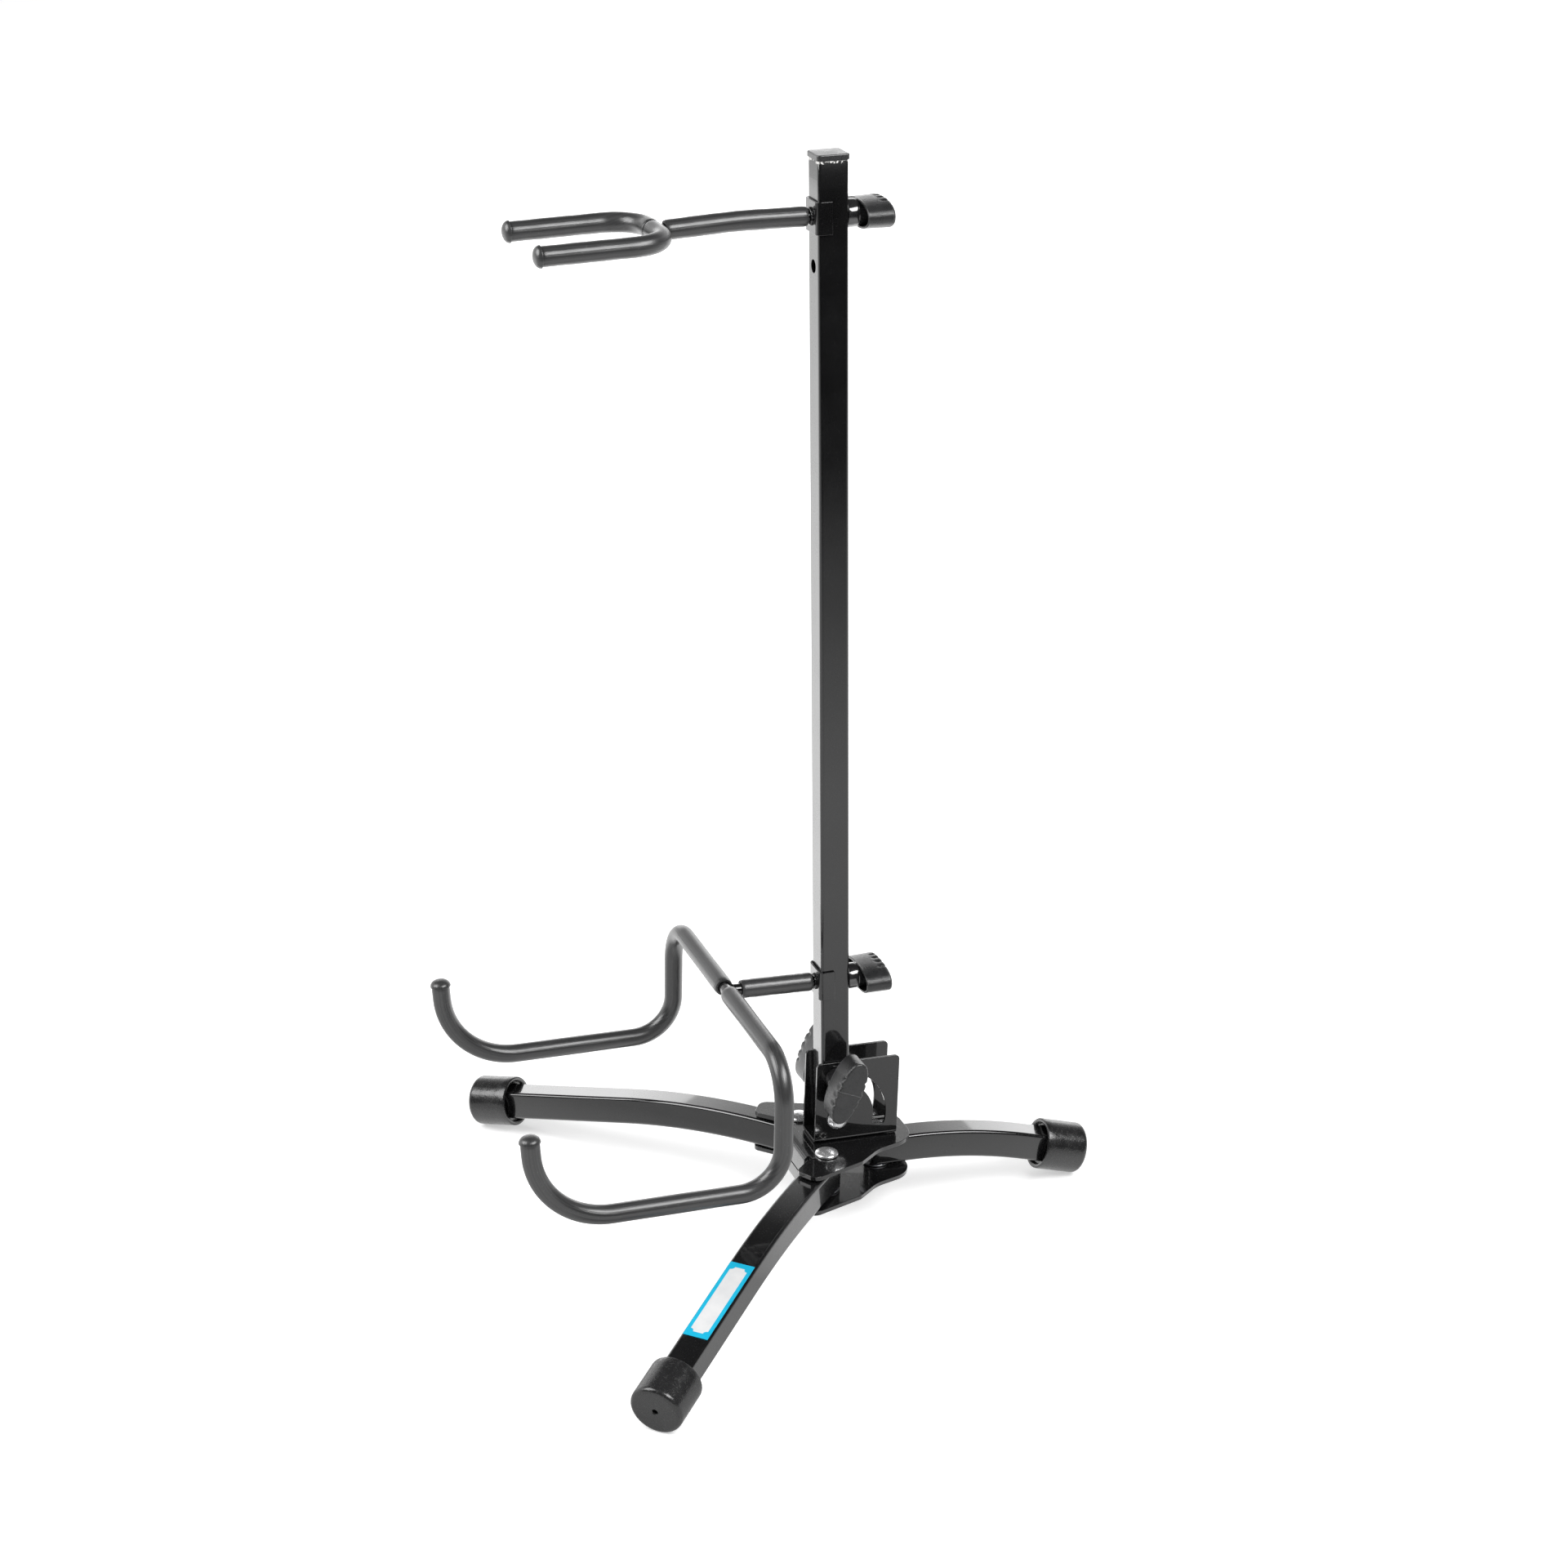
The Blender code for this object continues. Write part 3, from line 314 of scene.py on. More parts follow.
mast_line = [(sawn_edge, mast_bottom), (0, mast_bottom + sawn_edge)]
mast_line += [(0, z) for z in np.linspace(mast_bottom + 0.02, mast_top - 0.02, 12)]
mast_line += [(0, mast_top - sawn_edge * 1.5), (sawn_edge, mast_top)]
mast_line += [(tube_wall, mast_top), (tube_wall, mast_bottom)]
mast_rings = [raised(tube_outline(inset), z) for inset, z in mast_line]
mast = skin("mast_tube", mast_rings, on_mast, ends="joined")
for z in (0.0, stud_height):
    drill(mast, (-tube_side, 0, z), (tube_side, 0, z), on_mast)
for z in (cradle_height, spare_height, yoke_height):
    drill(mast, (0, tube_side, z), (0, -tube_side, z), on_mast)
fit(mast, "mast_assembly", "black_paint", material("mast_paint", gloss_paint, sawn_end), "mast")


# The mast's cap is a square of moulded plastic, pressed into the tube and standing 0.8 mm proud of it.
# Its top edge is rounded, and its face keeps the fine grain of the mould.
cap_half, cap_round, cap_edge = half_tube + 0.0008, 0.0007, 0.0002
cap_low = mast_top + seat_gap
cap_top = cap_low + 0.0036
plug_half, plug_length = 0.0089, 0.0117
quarter = np.radians(np.linspace(0, 90, 6))
cap_line = [(plug_half, cap_low - plug_length), (plug_half, cap_low), (cap_half - cap_edge, cap_low)]
cap_line += [(cap_half, cap_low + cap_edge), (cap_half, cap_top - cap_round - cap_edge)]
cap_line += [(cap_half - cap_round * (1 - cos(q)), cap_top - cap_round * (1 - sin(q))) for q in quarter]
cap_line += [(cap_half - cap_round - 0.0005, cap_top), (0.002, cap_top + 0.0002)]
cap_rings = [raised(square_ring(half, min(0.0026, half * 0.3), hold=0.0002), z) for half, z in cap_line]


def cap_plastic(wire):
    """Cap plastic: a pebbled grain, soft tone changes and scuffed high spots."""
    tone = wire.noise(90, 4.0)
    pebble = wire.cells(1500, 0.6).ramp(0.0, 0.75)
    scuff = wire.noise(260, 5.0).ramp(0.62, 0.95)
    colour = wire.blend(tone, (0.03, 0.03, 0.031), (0.045, 0.045, 0.046))
    colour = wire.blend(scuff * 0.5, colour, (0.099, 0.099, 0.1012))
    rough = 0.25 + pebble * 0.1 - tone * 0.08
    relief = wire.bump(pebble + wire.noise(3300, 2.0) * 0.4, 0.000012)
    return wire.principled(IOR=1.9, Base_Color=colour, Roughness=rough, Normal=relief)


cap = skin("mast_cap_moulding", cap_rings, on_mast)
fit(cap, "mast_assembly", "cap_plastic", material("cap_moulding", cap_plastic), "mast_cap")


# The U bracket is folded from 2 mm sheet: two cheeks with curved slots, joined by a web under the mast.
# It is spot welded to the upper hub plate and coated with it.
# It is cut from a larger blank by tools that reach past its sides.
hub_tilt = radians(2.7)
bracket_sheet, cheek_inner, web_top = 0.002, 0.0104, -0.0155
cheek_outer, web_bottom = cheek_inner + bracket_sheet, web_top - bracket_sheet
cheek_front, cheek_rear, cheek_top, cheek_corner = -0.016, 0.044, 0.0425, 0.003
slot_half, slot_from, slot_to = 0.0046, radians(-4), radians(97)
notch_half, notch_front, notch_round = 0.009, 0.025, 0.0088
blank, past = 0.06, 0.03


def on_hub(points):
    """Points in the hub's frame, whose Y runs back and a little down from the mast's pivot."""
    return tipped(points, hub_tilt)


def bend_line(corners, radii, steps=9):
    """Line through corners, with a circular bend at each inner one whose radius isn't nought.

    The spokes from the bend's centre to its two ends are blended by sines, so all its
    points lie on one circle.
    """
    corners = np.asarray(corners, float)
    parts = [corners[:1]]
    for before, here, after, radius in zip(corners, corners[1:], corners[2:], radii):
        if not radius:
            parts.append(here[None])
            continue
        to_last, to_next = unit(before - here), unit(after - here)
        turn = pi - np.arccos(np.clip(to_last @ to_next, -1, 1))
        opening = (pi - turn) / 2
        centre = here + unit(to_last + to_next) * radius / sin(opening)
        first = here + to_last * radius / tan(opening) - centre
        last = here + to_next * radius / tan(opening) - centre
        f = np.linspace(0, 1, steps)[:, None]
        parts.append(centre + (first * np.sin((1 - f) * turn) + last * np.sin(f * turn)) / sin(turn))
    return np.vstack(parts + [corners[-1:]])


def closed_line(corners, radii, steps=9):
    """Closed outline through corners, bent in the same way."""
    line = bend_line([corners[-1], *corners, corners[0]], radii, steps)
    return line[1:-1]


def sideways(outline, x):
    """Outline in Y and Z, set at x."""
    return np.column_stack([np.full(len(outline), x), outline])


def spoke(radius, angle):
    """Y and Z of points on a circle about the pivot, their angles measured back from upright."""
    return np.stack([radius * np.sin(angle), radius * np.cos(angle)], -1)


def slot_end(angle, way):
    """End of the slot: a half superellipse, so square that only its corners are round.

    Across the slot it goes as the root of the cosine, and along the slot as the root of the sine.
    """
    t = np.linspace(0, pi, 24)[1:-1]
    over = np.sign(np.cos(t)) * np.sqrt(np.abs(np.cos(t)))
    on = np.sqrt(np.sin(t))
    reach = over[:, None] * spoke(1, angle) + on[:, None] * spoke(1, angle + pi / 2)
    return spoke(stud_height, angle) + slot_half * way * reach


def soften(piece, width, segments):
    """Rounded edges wherever two faces meet at more than 50 degrees."""
    bevel = piece.modifiers.new("edge", "BEVEL")
    bevel.width, bevel.segments = width, segments
    bevel.limit_method, bevel.angle_limit = "ANGLE", radians(50)
    bevel.harden_normals = True


channel = closed_line(
    [(cheek_outer, web_bottom), (cheek_outer, blank), (cheek_inner, blank), (cheek_inner, web_top),
     (-cheek_inner, web_top), (-cheek_inner, blank), (-cheek_outer, blank), (-cheek_outer, web_bottom)],
    [0.003, 0, 0, 0.001, 0.001, 0, 0, 0.003],
    steps=8,
)
channel_ends = [np.insert(channel, 1, y, axis=1) for y in (blank, -past)]
bracket = skin("bracket_folded", channel_ends, on_hub)
cheek = closed_line(
    [(cheek_front, -past), (cheek_rear, -past), (cheek_rear, cheek_top), (cheek_front, cheek_top)],
    [0, 0, cheek_corner, cheek_corner],
)
cut(bracket, skin("cheek_outline", [sideways(cheek, -past), sideways(cheek, past)], on_hub), "INTERSECT")
sweep = np.linspace(slot_from, slot_to, 30)
slot = np.vstack([
    spoke(stud_height + slot_half, sweep), slot_end(slot_to, 1),
    spoke(stud_height - slot_half, sweep[::-1]), slot_end(slot_from, -1),
])[::-1]
cut(bracket, skin("slot_tool", [sideways(slot, -past), sideways(slot, past)], on_hub))
drill(bracket, (-past, 0, 0), (past, 0, 0), on_hub)
notch = closed_line(
    [(-notch_half, notch_front), (notch_half, notch_front), (notch_half, 0.07), (-notch_half, 0.07)],
    [notch_round, notch_round, 0, 0],
)
notch_ends = [raised(notch, z) for z in (web_bottom - 0.002, web_top + 0.002)]
cut(bracket, skin("notch_tool", notch_ends, on_hub))
soften(bracket, 0.00035, 2)


def spot_weld(wire):
    """Rubbed ring of the spot weld at the front foot of the left cheek."""
    weld_y, weld_z = pivot[1] - 0.0105, pivot[2] - 0.0115
    x, y, z = wire.axes()
    near = ((y - weld_y) ** 2 + (z - weld_z) ** 2) ** 0.5
    ring = near.ramp(0.0012, 0.0018) * (1 - near.ramp(0.0022, 0.0032))
    outer_face = x.ramp(cheek_outer - 0.0004, cheek_outer - 0.0002)
    return ring * outer_face * wire.noise(900, 3.0).ramp(0.35, 0.85) * 0.3


fit(bracket, "hub", "black_paint", material("bracket_paint", gloss_paint, spot_weld), "pivot_bracket")


# The hub plates are cut from 3 mm sheet, with a lobe for each leg's rivet and a flange bent along the front.
# The two flanges meet at a narrow seam, and the legs fold between the plates.
# The half outline gives each corner of one side with its bend's radius, and the other side mirrors it.
plate_sheet, bend_outer, bend_start, lap = 0.003, 0.0042, 0.0245, 0.004
flange_face, flange_half, seam_top, seam_gap = 0.0287, 0.027016, -0.0338, 0.0009
upper_top, upper_low, lower_top, lower_low = -0.0178, -0.0208, -0.0442, -0.0472
half_plate = [
    ((flange_half, -bend_start), 0), ((0.031, -bend_start), 0), ((0.031, -0.0218), 0),
    ((0.033, -0.0218), 0), ((0.033, -0.0285), 0), ((0.045, -0.0405), 0.005),
    ((0.0595, -0.0315), 0.007), ((0.0445, 0.0075), 0.002), ((0.0305, 0.0243), 0.03),
    ((0.0205, 0.0545), 0.0195),
]
whole_plate = half_plate + [((-x, y), r) for (x, y), r in reversed(half_plate)]
plate_line = closed_line([p for p, r in whole_plate], [r for p, r in whole_plate], steps=12)


def hub_plate(name, outer_z, inner_z, edge_z):
    """Plate with its flange: the flat outline raised by a sheet, joined to a strip bent off its face.

    The strip's section is two quarter circles about one centre, a sheet apart.
    """
    plate = skin(name, [raised(plate_line, z) for z in sorted([outer_z, inner_z])], on_hub)
    way = 1 if outer_z > edge_z else -1
    t = np.linspace(0, pi / 2, 10)

    def arc(radius):
        """Quarter circle about the bend's centre, from the plate to the flange."""
        z = outer_z + way * (radius * np.cos(t) - bend_outer)
        return np.stack([-bend_start - radius * np.sin(t), z], -1)

    section = np.vstack([
        [(lap - bend_start, outer_z)], arc(bend_outer),
        [(-flange_face, edge_z), (plate_sheet - flange_face, edge_z)],
        arc(bend_outer - plate_sheet)[::-1], [(lap - bend_start, inner_z)],
    ])
    strip = [sideways(section[::-1], x) for x in (-way * flange_half, way * flange_half)]
    cut(plate, skin("flange", strip, on_hub), "UNION")
    soften(plate, 0.00045, 3)
    return plate


plate_paint = material("plate_paint", gloss_paint)
plate_upper = hub_plate("plate_upper", upper_top, upper_low, seam_top)
plate_lower = hub_plate("plate_lower", lower_low, lower_top, seam_top - seam_gap)
fit(plate_upper, "hub", "black_paint", plate_paint, "hub_plate_upper")
fit(plate_lower, "hub", "black_paint", plate_paint, "hub_plate_lower")


# The rivets are plated steel: one for each leg, through both plates, and one across the bracket for the mast.
# Their heads are pressed to shallow domes that keep the press's facets and fine scratches.
# A washer lies above and below each leg.
rivet_spots = {"front_left": (0.0285, -0.013), "front_right": (-0.0285, -0.013), "rear": (0.0, 0.034)}
leg_head, leg_dome, pivot_head, pivot_dome, shank = 0.008, 0.0034, 0.0075, 0.0032, 0.004
washer_radius, washer_half, washer_edge = 0.0095, 0.00055, 0.0002


def turned(name, profile, place, sides=64, ends="capped"):
    """Surface of revolution: the profile's radius times (cos t, sin t), at the profile's height."""
    profile = np.asarray(profile, float)
    radius, height = profile[:, :1], profile[:, 1:]
    t = np.linspace(0, 2 * pi, sides, endpoint=False)
    points = np.stack([radius * np.cos(t), radius * np.sin(t), height + np.zeros(sides)], -1)
    return skin(name, points, place, own=points, ends=ends)


def rivet_line(low, high, head, dome):
    """Profile of a rivet from pole to pole: a dome, the shank and the other dome."""
    low, high, edge = low - seat_gap, high + seat_gap, dome * 0.22
    t = np.radians(np.linspace(0, 86, 12))
    radius, climb = head * np.cos(t), edge + (dome - edge) * np.sin(t)
    under = np.stack([radius, low - climb], -1)[::-1]
    over = np.stack([radius, high + climb], -1)
    stem = [(head, low - edge * 0.4), (head - 0.0002, low), (shank, low),
            (shank, high), (head - 0.0002, high), (head, high + edge * 0.4)]
    return np.vstack([under, stem, over])


def at_rivet(spot, z=0.0):
    """Place of what is centred on a leg's rivet, at a height of the hub."""
    return lambda points: on_hub(points + np.array([*rivet_spots[spot], z]))


def lying(points):
    """Points turned so that what stood along Z lies along X: (x, y, z) goes to (z, y, -x)."""
    return points[..., [2, 1, 0]] * np.array([1, 1, -1])


def plated(wire, tint, metal, rough, depth):
    """Plated steel: hammer facets a few millimetres across, hairline scratches and faint tarnish."""
    facets = wire.cells(330, 0.35)
    hair = wire.noise(1800, 4.0, stretch=(1, 0.08, 1))
    tarnish = wire.noise(420, 4.0).ramp(0.45, 0.9)
    colour = wire.blend(tarnish * 0.4, tint, tuple(c * 0.45 for c in tint))
    rough = rough + tarnish * 0.15 + hair * 0.06
    relief = wire.bump(facets * 0.8 + hair * 0.1, depth)
    return wire.principled(Metallic=metal, Base_Color=colour, Roughness=rough, Normal=relief)


chrome = material("rivet_plating", plated, (0.94, 0.94, 0.95), 0.85, 0.19, 0.00019)
zinc = material("zinc_plating", plated, (0.52, 0.53, 0.55), 1.0, 0.3, 0.00006)
washer_line = [
    (hole_radius, -washer_half), (washer_radius - washer_edge, -washer_half),
    (washer_radius, washer_edge - washer_half), (washer_radius, washer_half - washer_edge),
    (washer_radius - washer_edge, washer_half), (hole_radius, washer_half),
]
washer_off = seat_gap + washer_half
leg_rivet = rivet_line(lower_low, upper_top, leg_head, leg_dome)
for spot in rivet_spots:
    fit(turned("rivet_" + spot, leg_rivet, at_rivet(spot)), "hub", "chrome", chrome, "leg_rivet_" + spot)
    for side, z in (("upper", upper_low - washer_off), ("lower", lower_top + washer_off)):
        washer = turned("washer_" + spot + "_" + side, washer_line, at_rivet(spot, z), ends="joined")
        fit(washer, "hub", "zinc", zinc, "leg_washer_" + spot + "_" + side)
pivot_line = rivet_line(-cheek_outer, cheek_outer, pivot_head, pivot_dome)
pivot_rivet = turned("rivet_mast_pivot", pivot_line, lambda points: on_hub(lying(points)))
fit(pivot_rivet, "hub", "chrome", chrome, "mast_pivot_rivet")


# The legs are the same square tube, bent downwards in one long curve and rounded off about their rivets.
# The front pair folds back on its rivets until it lies beside the rear leg.
# A leg's shape is its level length, its curve's radius and bend, and the distance from rivet to foot end.
leg_drop = -0.0325
front_heading = radians(47)
front_shape = (0.0215, 0.54, radians(12.468214), 0.268)
rear_shape = (0.02, 0.35, radians(14.821048), 0.1565)
leg_plan = {
    "front_left": ("front_leg_left", front_heading - pi / 2, front_shape),
    "front_right": ("front_leg_right", -front_heading - pi / 2, front_shape),
    "rear": ("hub", pi / 2, rear_shape),
}


def leg_line(shape, start, end, count):
    """Points and directions along a leg, by distance from its rivet: level, then an arc, then straight.

    On the arc the turn is the distance past the level part over the radius, held between
    nought and the full bend; the rest runs on along the last direction.
    """
    level, radius, bend, _ = shape
    s = np.linspace(start, end, count)
    turned_by = np.clip((s - level) / radius, 0, bend)
    flat = np.minimum(s, level)
    rest = np.maximum(s - level - radius * bend, 0)
    x = flat + radius * np.sin(turned_by) + rest * np.cos(turned_by)
    z = radius * (np.cos(turned_by) - 1) - rest * np.sin(turned_by)
    return s, x, z, turned_by


def along_leg(line, side, up):
    """Section carried along a leg: its up leans by the leg's turn, x + up sin a and z + up cos a."""
    _, x, z, turned_by = line
    return np.stack([
        x[:, None] + up * np.sin(turned_by)[:, None],
        side + np.zeros((len(x), 1)),
        z[:, None] + up * np.cos(turned_by)[:, None],
    ], -1)


def leg_place(spot):
    """Place of a leg's own frame, x along it and z up, turned to its heading about its rivet."""
    heading = leg_plan[spot][1]
    x, y = rivet_spots[spot]

    def place(points):
        a, b, c = np.moveaxis(points, -1, 0)
        across = a * cos(heading) - b * sin(heading) + x
        back = a * sin(heading) + b * cos(heading) + y
        return on_hub(np.stack([across, back, c + leg_drop], -1))

    return place


def leg_tube(name, shape, place):
    """Hollow bent tube: the square outline carried along the leg, out along its outside and back inside.

    The first ring follows a half circle about the rivet, x = -sqrt(r^2 - y^2), so the end is round.
    """
    line = leg_line(shape, 0.0004, shape[3] - 0.0048, 60)

    def rings(inset):
        """Rings of the outline drawn in by inset, from the round end to the foot."""
        side, up = tube_outline(inset).T
        reach = np.sqrt(np.maximum((half_tube + 0.00005) ** 2 - side ** 2, 0))
        return np.concatenate([np.stack([-reach, side, up], -1)[None], along_leg(line, side, up)])

    whole = np.concatenate([rings(0), rings(tube_wall)[::-1]])
    return skin(name, whole[:, ::-1], place, ends="joined")


leg_paint = material("leg_paint", gloss_paint)
for spot, (body, _, shape) in leg_plan.items():
    leg = leg_tube("leg_tube_" + spot, shape, leg_place(spot))
    drill(leg, (0, 0, -tube_side), (0, 0, tube_side), leg_place(spot))
    fit(leg, body, "black_paint", leg_paint, "leg_" + spot)


# The feet are moulded rubber cups pushed over the legs, with a round mouth, a domed edge and a vent hole.
# Each is worn to a small flat where it stands.
# The outside gives radius and depth, from the vent over the closed end and back along the cup to its mouth.
foot_radius, foot_length, foot_wall, foot_round, vent = 0.0179, 0.032, 0.0045, 0.0034, 0.0019
foot_floor = foot_length - foot_wall
foot_outside = [(vent, foot_floor + 0.0002), (vent, foot_length - 0.0004), (vent + 0.0004, foot_length)]
foot_outside += [(foot_radius - foot_round - 0.001, foot_length)]
foot_outside += [
    (foot_radius - foot_round * (1 - sin(a)), foot_length - foot_round * (1 - cos(a)))
    for a in np.radians(np.linspace(0, 90, 10))
]
foot_outside += [(foot_radius, z) for z in np.linspace(foot_length - foot_round - 0.001, 0.0012, 7)]
foot_outside += [(foot_radius - 0.0002, 0.0004), (foot_radius - 0.0008, 0.0), (foot_radius - 0.0022, 0.0)]
foot_outside += [(foot_radius - 0.0028, 0.0005), (foot_radius - 0.0031, 0.002)]
foot_inside = [(1.12, 0.003), (1.0, 0.0034), (1.0, foot_floor), (0.5, foot_floor)]


def foot(name, spot):
    """Cup whose rings share their angles: circles outside, a square inside, and a blend on its mouth.

    A ring's radius at angle t is the circle's, or the square outline's at that angle.
    """
    shape = leg_plan[spot][2]
    square = tube_outline(-seat_gap)
    t = np.arctan2(square[:, 1], square[:, 0])
    fine = np.sort(np.concatenate([t, np.linspace(-pi, pi, 48, endpoint=False) + 0.01]))
    reach = np.interp(fine, np.sort(t), np.hypot(*square.T)[np.argsort(t)], period=2 * pi)
    ray = np.stack([np.cos(fine), np.sin(fine)], -1)
    rings = [raised(radius * ray, z) for radius, z in foot_outside]
    rings += [raised(share * reach[:, None] * ray, z) for share, z in foot_inside]
    rings = np.array(rings)
    _, x, z, turned_by = leg_line(shape, shape[3], shape[3], 1)
    b = turned_by[0]
    down, along = np.array([-sin(b), 0, -cos(b)]), np.array([cos(b), 0, -sin(b)])
    base = np.array([x[0], 0, z[0]]) - along * foot_length
    local = base + rings[..., :1] * down + rings[..., 1:2] * np.array([0, 1, 0]) + rings[..., 2:] * along

    def stand(points):
        """The leg's place, with nothing lower than the floor."""
        placed = leg_place(spot)(points)
        placed[..., 2] = np.maximum(placed[..., 2], 0.0)
        return placed

    return skin(name, local[:, ::-1], stand, own=rings[:, ::-1], ends="joined", crease=40)


def rubber(wire):
    """Black rubber: mottled sheen, fine pits, grey scuffs and a faint bloom."""
    mottle = wire.noise(260, 5.0)
    bloom = wire.noise(34, 3.0)
    pits = wire.noise(820, 2.0)
    scuff = wire.noise(700, 5.0).ramp(0.62, 0.95)
    colour = wire.blend(bloom, (0.011, 0.011, 0.0114), (0.02, 0.02, 0.0206))
    colour = wire.blend(scuff * 0.3, colour, (0.09, 0.09, 0.088))
    rough = 0.17 + mottle * 0.14 + scuff * 0.1
    relief = wire.bump(mottle * 0.6 + pits * 0.4, 0.000085)
    return wire.principled(IOR=1.72, Base_Color=colour, Roughness=rough, Normal=relief)


foot_rubber = material("foot_rubber", rubber)
for spot, (body, _, _) in leg_plan.items():
    fit(foot("foot_cup_" + spot, spot), body, "foot_rubber", foot_rubber, "foot_" + spot)


# The label is a glossy printed film on top of the left front leg, with a blue border round a white panel.
# It follows the leg's curve, and it is left without words.
label_start, label_length, label_width, label_thick = 0.1345, 0.073, 0.0172, 0.0003
border_end, border_side, fade_edge = 0.0042, 0.0026, 0.0001
label_line = leg_line(front_shape, label_start, label_start + label_length, 40)
side = np.array([-1, -1, 1, 1]) * label_width / 2
rise = half_tube + seat_gap + np.array([1, 0, 0, 1]) * label_thick
distance = label_line[0][:, None]
label_own = np.stack(np.broadcast_arrays(distance - distance.mean(), side, rise), -1)
label = skin("label_film", along_leg(label_line, side, rise), leg_place("front_left"), own=label_own)


def printed_film(wire):
    """Blue border and a white panel whose four corners are cut by quarter circles, under clear gloss."""
    along, over, _ = wire.axes("own")
    u, v = wire.sum("ABSOLUTE", along), wire.sum("ABSOLUTE", over)
    u0, v0 = label_length / 2 - border_end, label_width / 2 - border_side
    inside = (1 - u.ramp(u0 - fade_edge, u0 + fade_edge)) * (1 - v.ramp(v0 - fade_edge, v0 + fade_edge))
    corner = ((u - u0) ** 2 + (v - v0) ** 2) ** 0.5
    panel = inside * corner.ramp(0.0025, 0.0027)
    fade = wire.noise(110, 4.0)
    blue = wire.blend(fade, (0.003, 0.428, 0.678), (0.007, 0.5, 0.742))
    white = wire.blend(fade, (0.7, 0.71, 0.72), (0.8, 0.8, 0.8))
    return wire.principled(
        Base_Color=wire.blend(panel, blue, white), Roughness=0.3 + fade * 0.12,
        Coat_Weight=0.5, Coat_Roughness=0.1, Normal=wire.bump(wire.noise(700, 2.0), 0.000006),
    )


fit(label, "front_leg_left", "label", material("label_film", printed_film), "leg_label")


# The clamp stud is threaded zinc plated steel. It passes through both slots and the mast,
# and its hand knobs pull the cheeks against the mast.
stud_radius, stud_point, thread_depth, thread_pitch = 0.0039, 0.003, 0.00009, 0.00125
clamp_seat = cheek_outer + seat_gap
stud_end = clamp_seat + 0.019
t = np.linspace(-stud_end, stud_end, 420)[4:-4]
thread = np.stack([stud_radius + thread_depth * np.cos(2 * pi * t / thread_pitch), t], -1)
stud_line = np.vstack([[(stud_point, -stud_end)], thread, [(stud_point, stud_end)]])
stud_place = lambda points: on_mast(lying(points) + [0, 0, stud_height])
stud = turned("stud_thread", stud_line, stud_place, sides=28)
fit(stud, "mast_assembly", "zinc", zinc, "clamp_stud")


# The hand knobs are black plastic: a smooth round boss moulded over a nut, inside an oval grip.
# The grip is open towards the boss, grained outside, and notched near its closed end.
knob_long, knob_short, knob_length, knob_wall, knob_edge = 0.0457, 0.0186, 0.026, 0.0018, 0.0016
boss_radius, boss_length, bore_length = 0.0089, 0.008, 0.02
notch_length, notch_depth, notch_width = 0.006, 0.0012, 0.0009
notch_spots = (-0.0098, -0.0033, 0.0033, 0.0098)
clamp_turn = radians(24)


def oval_ring(long_half, short_half, sides=144, fullness=2.3):
    """Oval fuller than an ellipse: x = a |cos t|^(2/n) and y = b |sin t|^(2/n), with their signs."""
    t = np.linspace(0, 2 * pi, sides, endpoint=False)
    c, s = np.cos(t), np.sin(t)
    x = long_half * np.sign(c) * np.abs(c) ** (2 / fullness)
    y = short_half * np.sign(s) * np.abs(s) ** (2 / fullness)
    return np.stack([x, y], -1)


def grip(name, place):
    """Oval grip: rings out of its hollow, along its grained outside and over the closed end.

    Four notches a side, near the closed end, sink by their depth times a bell curve across them.
    """
    a, b = knob_long / 2, knob_short / 2
    hollow_floor, core = knob_length - knob_wall, boss_radius - 0.0008
    hollow = oval_ring(a - knob_wall, b - knob_wall)
    t = np.arctan2(hollow[:, 1], hollow[:, 0])
    tight = np.stack([core * np.cos(t), np.clip(core * np.sin(t), knob_wall - b, b - knob_wall)], -1)
    rings = [raised(tight * 0.05, hollow_floor), raised(tight, hollow_floor)]
    rings += [raised(hollow, hollow_floor), raised(hollow, boss_length)]
    sizes = [(0.0008, boss_length), (0.0003, boss_length + 0.0004)]
    straight = knob_length - knob_edge - boss_length - 0.0014
    sizes += [(0.0004 * (1 - f), boss_length + 0.001 + f * straight) for f in np.linspace(0, 1, 12)]
    quarter = np.radians(np.linspace(0, 90, 7))
    sizes += [(knob_edge * (1 - cos(q)), knob_length - knob_edge * (1 - sin(q))) for q in quarter]
    sizes += [(knob_edge + 0.0006, knob_length), (a * 0.39, knob_length)]
    for inset, z in sizes:
        x, y = oval_ring(a - inset, max(b - inset, 0.0004)).T
        deep = np.clip((z - (knob_length - notch_length)) / 0.002, 0, 1) * notch_depth * (inset < 0.004)
        bell = sum(np.exp(-(((x - c) / notch_width) ** 2)) for c in notch_spots)
        rings.append(raised(np.stack([x, y - np.sign(y) * deep * bell], -1), z))
    return skin(name, rings, place, own=rings, crease=38)


